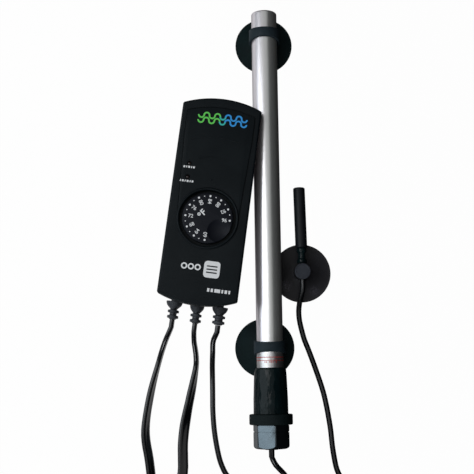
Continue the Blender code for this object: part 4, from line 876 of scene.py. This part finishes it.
def add_reliefs():
    """The cord reliefs: a flared foot on the wall, a hollow-sided neck and two ribs."""
    flare = ((0, 0.0012, 0), (0.01, 0.0011, 0.06), (0.07, 0.0009, 0.13), (0.22, 0.0006, 0.22),
             (0.50, 0.0003, 0.31), (0.82, 0.0001, 0.39), (1, 0, 0.46))
    for name, base, neck, height in (("mains", 0.0058, 0.0022, 0.0044), ("heater", 0.0051, 0.0022, 0.0044),
                                     ("probe", 0.0056, 0.0026, 0.0030)):
        rib, waist = neck + 0.0018, neck + 0.0003
        ribs = ((rib, 0.0009, 0.50), (rib, 0.0009, 0.62), (waist, 0, 0.65), (waist, 0, 0.77),
                (rib, 0.0007, 0.80), (rib, 0.0007, 0.93), (waist, -0.0002, 0.96), (waist * 0.96, -0.0003, 1))
        rows = [(base + (neck - base) * share, rise, at) for share, rise, at in flare] + list(ribs)
        profile = [(across, height + rise, at * RELIEF_LENGTH) for across, rise, at in rows]
        x = RELIEFS[name]
        relief = turned(f"cord_relief_{name}", profile, 56)
        round_edges(relief, 0.00035, 3, 28)
        stub = turned("stub", [(0.0025, 0.0040, 0.0), (0.0025, 0.0040, 0.0112), (0.0029, 0.0052, 0.0114),
                               (0.0029, 0.0052, 0.0124)], 56)
        lay(stub, (0, 0, 0.0002), 180)
        carve(relief, stub, "UNION")
        complete(relief, 40, ("controller", (x, relief_seat(x), RELIEF_HEIGHT), 1), "root", "relief",
                 f"strain_relief_{name}")


def add_dial():
    """The dial, with its finger dimple dished out of the face."""
    edge, dish_radius, dish_depth, dish_reach = 0.0008, 0.0082, 0.0022, 0.0121
    profile = [(0.0170, DIAL_BOTTOM), (DIAL_RADIUS, DIAL_BOTTOM + 0.0005)]
    dial = turned("dial_knob", profile + quarter(DIAL_RADIUS - edge, DIAL_TOP - edge, edge, 0, 84, 6), 160)
    sphere = (dish_radius ** 2 + dish_depth ** 2) / (2 * dish_depth)
    angle = math.radians(-42)
    unpick()
    bpy.ops.mesh.primitive_uv_sphere_add(segments=160, ring_count=96, radius=sphere, location=(
        dish_reach * math.cos(angle), dish_reach * math.sin(angle), DIAL_TOP + sphere - dish_depth))
    dish = named("dish")
    bake_place(dish)
    carve(dial, dish)
    drill(dial, 0.0023, DIAL_BOTTOM - 0.001, DIAL_BOTTOM + 0.0026, sides=32)
    complete(dial, 24, ("controller", (0, DIAL_Y, 0)), "dial", "dial", "control_dial")


def print_piece(piece, place, turn, level, body="root", finish="white_ink"):
    """Lays a flat mark on the controller at a level, turned by so many degrees."""
    make_outward(piece)
    lay(piece, (*place, level + 0.00002), turn, "Z")
    settle(piece, "controller")
    dress(piece, body, finish)


def add_letters(name, text, size, place, turn, bold):
    unpick()
    bpy.ops.object.text_add(location=ORIGIN)
    letters = bpy.context.object
    letters.name = name
    letters.data.body, letters.data.size = text, size
    letters.data.align_x, letters.data.align_y = "CENTER", "CENTER"
    letters.data.extrude, letters.data.offset = INK / 2, bold
    bpy.ops.object.convert(target="MESH")
    print_piece(letters, place, turn, DIAL_TOP, "dial")


def add_scale():
    """Ten positions, clockwise from straight down: a dot for every half step, and a number for every step."""
    for half_step in range(19):
        turn = -90 - 15 * half_step
        numbered = half_step % 2 == 0
        across, along = (DIAL_RADIUS * way(math.radians(turn)) for way in (math.cos, math.sin))
        place = [(share * across, DIAL_Y + share * along) for share in (0.875, 0.665)]
        dot = new_drum(f"scale_dot_{half_step}", 0.00072 if numbered else 0.00038, 0, 0.00006, sides=24)
        print_piece(dot, place[0], 0, DIAL_TOP, "dial")
        if numbered:
            add_letters(f"scale_number_{half_step}", str(60 + 2 * half_step), 0.0036, place[1], turn + 180,
                        0.00004)
    add_letters("scale_unit", "F", 0.0060, (-0.0034, DIAL_Y + 0.0036), 51, 0.00016)
    degree = new_ring("scale_degree", 0.00045, 0.00115, 0, INK, 32)
    print_piece(degree, (-0.0062, DIAL_Y + 0.0020), 0, DIAL_TOP, "dial")


def add_waves():
    """The upper mark: two rows of nine half rings that run from green to blue."""
    radius, width, count = 0.0019, 0.00115, 9
    wave = new_ring("wave", radius - width / 2, radius + width / 2, 0, INK, 48)
    cut_off(wave, ORIGIN, (0, -1, 0))
    for row in range(2):
        for i in range(count):
            x = 0.0013 + (i - (count - 1) / 2) * 2 * radius
            ink = "green_ink" if i < 4 else "teal_ink" if i < 5 else "blue_ink"
            print_piece(twin(wave, f"wave_{row}_{i}"), (x, 0.0600 - 0.0036 * row), 0 if i % 2 else 180,
                        PANEL_TOP, "root", ink)
    bpy.data.objects.remove(wave, do_unlink=True)


def add_bars(name, place, widths, gap, height, level, turn=0):
    """A row of small printed bars, centred on a place."""
    x = place[0] - (sum(widths) + gap * (len(widths) - 1)) / 2
    for i, width in enumerate(widths):
        bar = new_block(f"{name}_{i}", (-width / 2, -height / 2, 0), (width / 2, height / 2, INK))
        print_piece(bar, (x + width / 2, place[1]), turn, level)
        x += width + gap


def add_marks():
    """The printed bars, rings and plate, and the pointer moulded above the dial."""
    add_waves()
    short, middling, long, lean = 0.0007, 0.0012, 0.0014, math.degrees(-0.25)
    add_bars("lamp_mark_1", (-0.0175, 0.0216), (middling, short, long, short, middling), short, long,
             PANEL_TOP, lean)
    add_bars("lamp_mark_2", (-0.0179, 0.0115), (short, middling, short, long, short, middling), short, long,
             PANEL_TOP, lean)
    for i, x in enumerate((-0.0117, -0.0070, -0.0023)):
        print_piece(new_ring(f"badge_ring_{i}", 0.0012, 0.0022, 0, INK, 48), (x, -0.0475), 0, FRONT_FACE)
    badge = new_block("badge_plate", (-0.0056, -0.0058, 0), (0.0056, 0.0058, INK))
    begin_edit(badge, "EDGE")
    bevel_marked(badge, lambda middle, run: abs(run.z) > 0.9, 0.0024, 6)
    end_edit()
    for y in (-0.0022, 0.0, 0.0022):
        carve(badge, new_block("slot", (-0.0037, y - 0.00045, -0.001), (0.0037, y + 0.00045, 0.001)))
    print_piece(badge, (0.0076, -0.0480), 0, FRONT_FACE)
    add_bars("rating_mark", (0.0095, -0.0622), (0.0016, 0.0016, 0.0016), 0.0009, 0.0024, FRONT_FACE)
    add_bars("rating_line", (0.0175, -0.0622), (0.0024, 0.0012, 0.0018, 0.0012), 0.0009, 0.0024, FRONT_FACE)
    pointer = turned("dial_pointer", [(0.0013, 0.0), (0.0011, 0.00025), (0.0005, 0.0004)], 3)
    lay(pointer, (-0.0009, 0.0144, PANEL_TOP - 0.0001), -90, "Z")
    settle(pointer, "controller")
    dress(pointer, "root", "front")


add_front()
add_ridges()
add_marks()
add_rear()
add_reliefs()
add_dial()
add_scale()


# ---------------- heater

def add_tube():
    """The closed tube with its rounded end, and the printed band near its foot."""
    edge, sunk, film, raised = 0.0013, TUBE_RADIUS - 0.0001, TUBE_RADIUS + 0.00006, TUBE_RADIUS + 0.00011
    profile = [(TUBE_RADIUS, TUBE_END_Y), (TUBE_RADIUS, 0.0), (TUBE_RADIUS, TUBE_TOP_Y - edge)]
    tube = turned("sheath", profile + quarter(TUBE_RADIUS - edge, TUBE_TOP_Y - edge, edge, 10, 90, 8), 160)
    complete(tube, 20, ON_TUBE, "root", "titanium", "sheath_tube")
    band = new_ring("print_band", TUBE_RADIUS - 0.0002, film, -0.1152, -0.1053, 160)
    complete(band, 30, ON_TUBE, "root", "print_silver")
    marks = [new_ring("print_line_1", sunk, raised, -0.1084, -0.1079, 160),
             new_ring("print_line_2", sunk, raised, -0.1105, -0.1101, 160)]
    mark = new_ring("print_mark_0", sunk, raised, -0.1119, -0.1110, 160)
    begin_edit(mark)
    mark_faces(mark, lambda middle, normal: middle.y > 0 or abs(middle.x) > 0.00042)
    bpy.ops.mesh.delete(type="FACE")
    mark_all()
    bpy.ops.mesh.fill_holes(sides=0)
    end_edit()
    make_outward(mark)
    for i, turn in enumerate((-24, -17, -3, 4, 11, 25)):
        marks.append(twin(mark, f"print_mark_{i + 1}"))
        lay(marks[-1], ORIGIN, turn, "Z")
    bpy.data.objects.remove(mark)
    for piece in marks:
        complete(piece, 30, ON_TUBE, "root", "red_ink")


def add_sleeve():
    """Heat-shrink that grips the tube, then swells over the gland."""
    fit, gland, top, low = TUBE_RADIUS + 0.0003, TUBE_RADIUS + 0.0015, SLEEVE_TOP_Y, COLLAR_TOP_Y + 0.0002
    profile = [(fit, top), (fit, TUBE_END_Y + 0.0040), (gland, TUBE_END_Y - 0.0003), (gland, low),
               (gland + 0.0013, low), (gland + 0.0012, TUBE_END_Y + 0.0020), (fit + 0.0022, top - 0.0160),
               (fit + 0.0020, top - 0.0100), (fit + 0.0018, top - 0.0050), (fit + 0.0015, top - 0.0015),
               (fit + 0.0013, top - 0.0003), (fit + 0.0009, top)]
    complete(turned("shrink_film_sleeve", profile, 96, True), 50, ON_TUBE, "root", "film",
             "shrink_sleeve")


def add_collar():
    collar = new_ring("rubber_collar", 0.0093, 0.01505, COLLAR_LOW_Y, COLLAR_TOP_Y, 128)
    round_edges(collar, 0.0009, 4, 40)
    complete(collar, 40, ON_TUBE, "root", "collar", "collar_ring")


def add_nut():
    """The hex nut: a hexagon cut by a turned form that rounds its corners over at the cord's end."""
    corner, arc, step = 0.0131, 0.0036, 0.955
    nut = new_drum("hex_nut", corner, 0.0, 0.0112, sides=6)
    begin_edit(nut, "EDGE")
    bevel_marked(nut, lambda middle, run: abs(run.z) > 0.9, 0.0009, 4)
    bpy.ops.mesh.select_mode(type="FACE")
    mark_faces(nut, lambda middle, normal: normal.z > 0.9)
    for rise, scale in ((0.0001, step), (0.0004, 1.0), (0.0001, 1 / step), (0.0042, 1.0)):
        bpy.ops.mesh.extrude_region_move(TRANSFORM_OT_translate={"value": (0, 0, rise)})
        bpy.ops.transform.resize(value=(scale, scale, 1), center_override=ORIGIN)
    end_edit()
    profile = [(corner - 0.0035, 0.0), *quarter(corner - arc, arc, arc, -78, 0, 8),
               (corner + 0.0002, 0.0152), (corner - 0.0006, 0.0160)]
    carve(nut, turned("turning", profile, 128), "INTERSECT")
    drill(nut, 0.0093, 0.0034, 0.03, sides=64)
    drill(nut, 0.0052, -0.01, 0.01, sides=64)
    lay(nut, ORIGIN, 12, "Z")
    seat = ("heater", (0, NUT_END_Y, TUBE_AXIS), -1)
    complete(nut, 28, seat, "root", "nut", "gland_nut")
    seal = turned("gland_grommet", [(0.0044, -0.0006), (0.0047, -0.0004), (0.0049, 0.0003),
                                    (0.0049, 0.0040)], 64)
    complete(seal, 40, seat, "root", "collar", "gland_seal")


def cup_rows(hub):
    """The cup's section, from under the dome out round the rim and up to the hub."""
    under = [(0.0022, 0.00215), (0.0066, 0.0021), (0.0110, 0.0017), (0.0142, 0.00115), (0.0172, 0.0005),
             (0.0190, 0.0)]
    brim, rise = 0.0194, 0.0009
    rim = [(0.0208, 0.0), (0.0210, 0.00015), (0.0210, 0.00055), (0.02085, 0.0008), (0.0203, 0.0009),
           (0.0198, 0.00085), (brim, rise)]
    dome = [(brim - share * (brim - hub - 0.0004),
             rise + (HUB_HEIGHT - rise) * share - 0.00045 * math.sin(math.pi * share))
            for share in (i / 8 for i in range(1, 9))]
    return under + rim + dome


def lean(piece, shift):
    """Moves each ring of a cup's disc sideways under its hub, as its rubber neck lets it."""
    heights = sorted({round(vertex.co.z, 6) for vertex in piece.data.vertices if vertex.co.z < HUB_HEIGHT})
    for height in heights:
        begin_edit(piece, "VERT")
        form = bmesh.from_edit_mesh(piece.data)
        for vertex in form.verts:
            vertex.select_set(abs(vertex.co.z - height) < 6e-7)
        bmesh.update_edit_mesh(piece.data)
        bpy.ops.transform.translate(value=(shift * (1 - height / HUB_HEIGHT), 0, 0))
        end_edit()


def add_cup(name, place_y, shift):
    stem = [(0.0055, 0.0043), (0.0030, 0.0043), (0.0030, 0.0059), (0.0047, 0.0059), (0.0047, 0.0073),
            (0.0044, 0.0076)]
    cup = turned(f"suction_cup_{name}", cup_rows(0.0055) + stem, 128)
    if shift:
        lean(cup, shift)
    complete(cup, 40, ("heater", (0, place_y, 0)), f"{name}_cup", "cup", f"{name}_cup")


def add_clip(name, place_y, top, low):
    """A rubber band round the tube, narrower over the crown, on a foot with the cup's socket."""
    inner, outer, half = TUBE_RADIUS + 0.0003, TUBE_RADIUS + 0.0019, 0.0061
    band = new_ring(f"clip_{name}", inner, outer, -0.0070, 0.0070, 128)
    lay(band, (0, 0, TUBE_AXIS), -90)
    base, crown = TUBE_AXIS - outer, TUBE_AXIS + outer
    for way, reach in ((1, top), (-1, low)):
        run = Vector((0, way * (reach - half), crown - base)).normalized()
        cut_off(band, (0, way * half, base), (0, way * run.z, -way * run.y))
    foot = new_block("foot", (-0.0075, -0.0058, HUB_HEIGHT + 0.0003), (0.0075, 0.0058, TUBE_AXIS - 0.0040))
    tunnel = new_drum("tunnel", inner + 0.0008, -0.02, 0.02, sides=128)
    lay(tunnel, (0, 0, TUBE_AXIS), 90)
    carve(foot, tunnel)
    carve(band, foot, "UNION")
    # The socket for the cup's button, and its narrower mouth
    drill(band, 0.0052, HUB_HEIGHT + 0.0013, TUBE_AXIS, sides=48)
    drill(band, 0.0035, 0.0, HUB_HEIGHT + 0.0020, sides=48)
    round_edges(band, 0.0003, 2, 40)
    complete(band, 35, ("heater", (0, place_y, 0)), f"{name}_clip", "clip", f"{name}_clip")


add_tube()
add_sleeve()
add_collar()
add_nut()
add_cup("upper", UPPER_CLIP_Y, 0.0)
add_cup("lower", LOWER_CLIP_Y, -0.0033)
add_clip("upper", UPPER_CLIP_Y, 0.0052, 0.0012)
add_clip("lower", LOWER_CLIP_Y, 0.0032, 0.0032)


# ---------------- probe

def add_probe():
    """The sensing capsule, the glossy ribbed bushing, and the cup whose boss holds the cord."""
    radius, top, end, edge = 0.0042, 0.0610, 0.0173, 0.0009
    along = ("probe", (0, 0, PROBE_AXIS), -1)
    capsule = turned("probe_body", [
        (radius - 0.0006, end), (radius, end + 0.0004), (radius, 0.04), (radius, top - edge),
        *quarter(radius - edge, top - edge, edge, 20, 90, 4), (radius - 0.0014, top - 0.0002)])
    complete(capsule, 30, along, "root", "capsule", "probe_capsule")
    rib, neck, low = 0.0036, 0.0026, BUSHING_END_Y
    bushing = turned("probe_gland", [
        (rib - 0.0005, low), (rib, low + 0.0007), (rib, low + 0.0024), (rib - 0.0005, low + 0.0030),
        (neck, low + 0.0033), (neck, 0.0137), (rib - 0.0004, 0.0141), (rib, 0.0147), (rib, 0.0163),
        (rib - 0.0004, 0.0170), (0.0030, 0.0170), (0.0030, 0.0230)], 80)
    round_edges(bushing, 0.0002, 2, 25)
    complete(bushing, 40, along, "root", "film", "probe_bushing")
    boss = 0.0057
    rows = cup_rows(boss) + [(boss, 0.0045), (boss, 0.0140), (0.0054, 0.0143)]
    cup = turned("suction_cup_probe", rows, 128)
    hole = new_drum("cord_hole", 0.0023, -0.02, 0.02, sides=48)
    lay(hole, (0, 0, PROBE_AXIS), 90)
    carve(cup, hole)
    drill(cup, 0.0023, 0.0126, 0.02, sides=40)
    complete(cup, 40, ("probe",), "probe_cup", "probe_cup", "probe_cup")
    cap = turned("cup_button", [(0.0020, 0.0129), (0.0020, 0.0146), (boss, 0.0146), (boss, 0.0155),
                                (0.0055, 0.0159), (0.0051, 0.0161), (0.0046, 0.0161), (0.0044, 0.01595)], 96)
    complete(cap, 30, ("probe",), "probe_cup", "knob", "probe_cup_cap")


add_probe()

for kind, nodes in {
    "rear": ("gland_body",),
    "steel": ("cover_screw_1", "cover_screw_2", "cover_screw_3", "cover_screw_4", "pot_body"),
    "brass": ("plug_blade_1", "plug_blade_2", "pot_shaft"),
    "board": ("circuit_board",),
    "copper": ("transformer", "element_winding"),
    "component": ("relay", "terminal_block", "triac", "capacitor"),
    "ceramic": ("ceramic_core", "thermal_cutout", "filler_plug", "fuse", "thermistor"),
    "lens": ("power_lamp", "heater_lamp"),
    "nylon": ("mains_tie", "heater_tie", "probe_tie"),
    "cord": ("plug_body",),
}.items():
    refinish(kind, *nodes)


# ---------------- table and lamps

def add_table():
    unpick()
    bpy.ops.mesh.primitive_plane_add(size=24, location=(0, 0, -0.0004))
    table = named("table")
    made = Finish("table_white_painted_shade", 0.0)
    # Painted shade: the floor's diffuse colour runs from 0.50 on the left to near black right of x = 0.05 m,
    # and its white shine reaches glossy rays only on the left, so the metal beside it mirrors painted
    # darkness. To the camera the floor stays white.
    across = made.node("SeparateXYZ", {0: made.place()})
    painted_shade_falloff = 1 - across.over(-0.02, 0.05)
    material = made.look(made.blend(painted_shade_falloff, (0.012, 0.012, 0.012), (0.50, 0.50, 0.50)), 0.9)
    camera, glossy, through = (made.node("LightPath", output=f"Is {ray} Ray")
                               for ray in ("Camera", "Glossy", "Transmission"))
    seen = camera + glossy * painted_shade_falloff * 0.6 + through
    shine = made.node("Emission", {"Color": (1, 1, 1), "Strength": 1.0})
    mixed = made.node("MixShader", {0: seen * 0.985, 1: Wire(made, made.surface.outputs[0]), 2: shine})
    made.feed(made.tree.nodes["Material Output"].inputs["Surface"], mixed)
    table.data.materials.append(material)


def add_lamp(name, place, aim, width, height, power, colour=(1, 1, 1)):
    bpy.ops.object.light_add(type="AREA", location=place)
    lamp = bpy.context.object
    lamp.name = name
    lamp.data.shape = "RECTANGLE"
    lamp.data.size, lamp.data.size_y = width, height
    lamp.data.energy = power
    lamp.data.color = colour
    lamp.rotation_euler = (Vector(aim) - Vector(place)).to_track_quat("-Z", "Y").to_euler()


def add_light():
    aim = (0.02, -0.05, 0.0)
    add_lamp("key", (-0.76, 0.30, 1.40), aim, 0.24, 1.8, 4.8)
    add_lamp("side", (-1.26, 0.16, 0.98), aim, 0.95, 1.7, 12.5, (0.88, 0.95, 1.0))
    add_lamp("tent", (0.0, 0.25, 1.55), (0.0, 0.25, 0.0), 1.7, 2.2, 6.2)
    add_lamp("foot", (-0.50, -1.30, 0.75), aim, 0.8, 0.5, 8.0, (0.94, 0.97, 1.0))
    world = bpy.data.worlds.new("room")
    bpy.context.scene.world = world
    world.use_nodes = True
    world.node_tree.nodes["Background"].inputs["Color"].default_value = (0.014, 0.014, 0.015, 1)
    bpy.context.scene.view_settings.view_transform = "Standard"


add_table()
add_light()
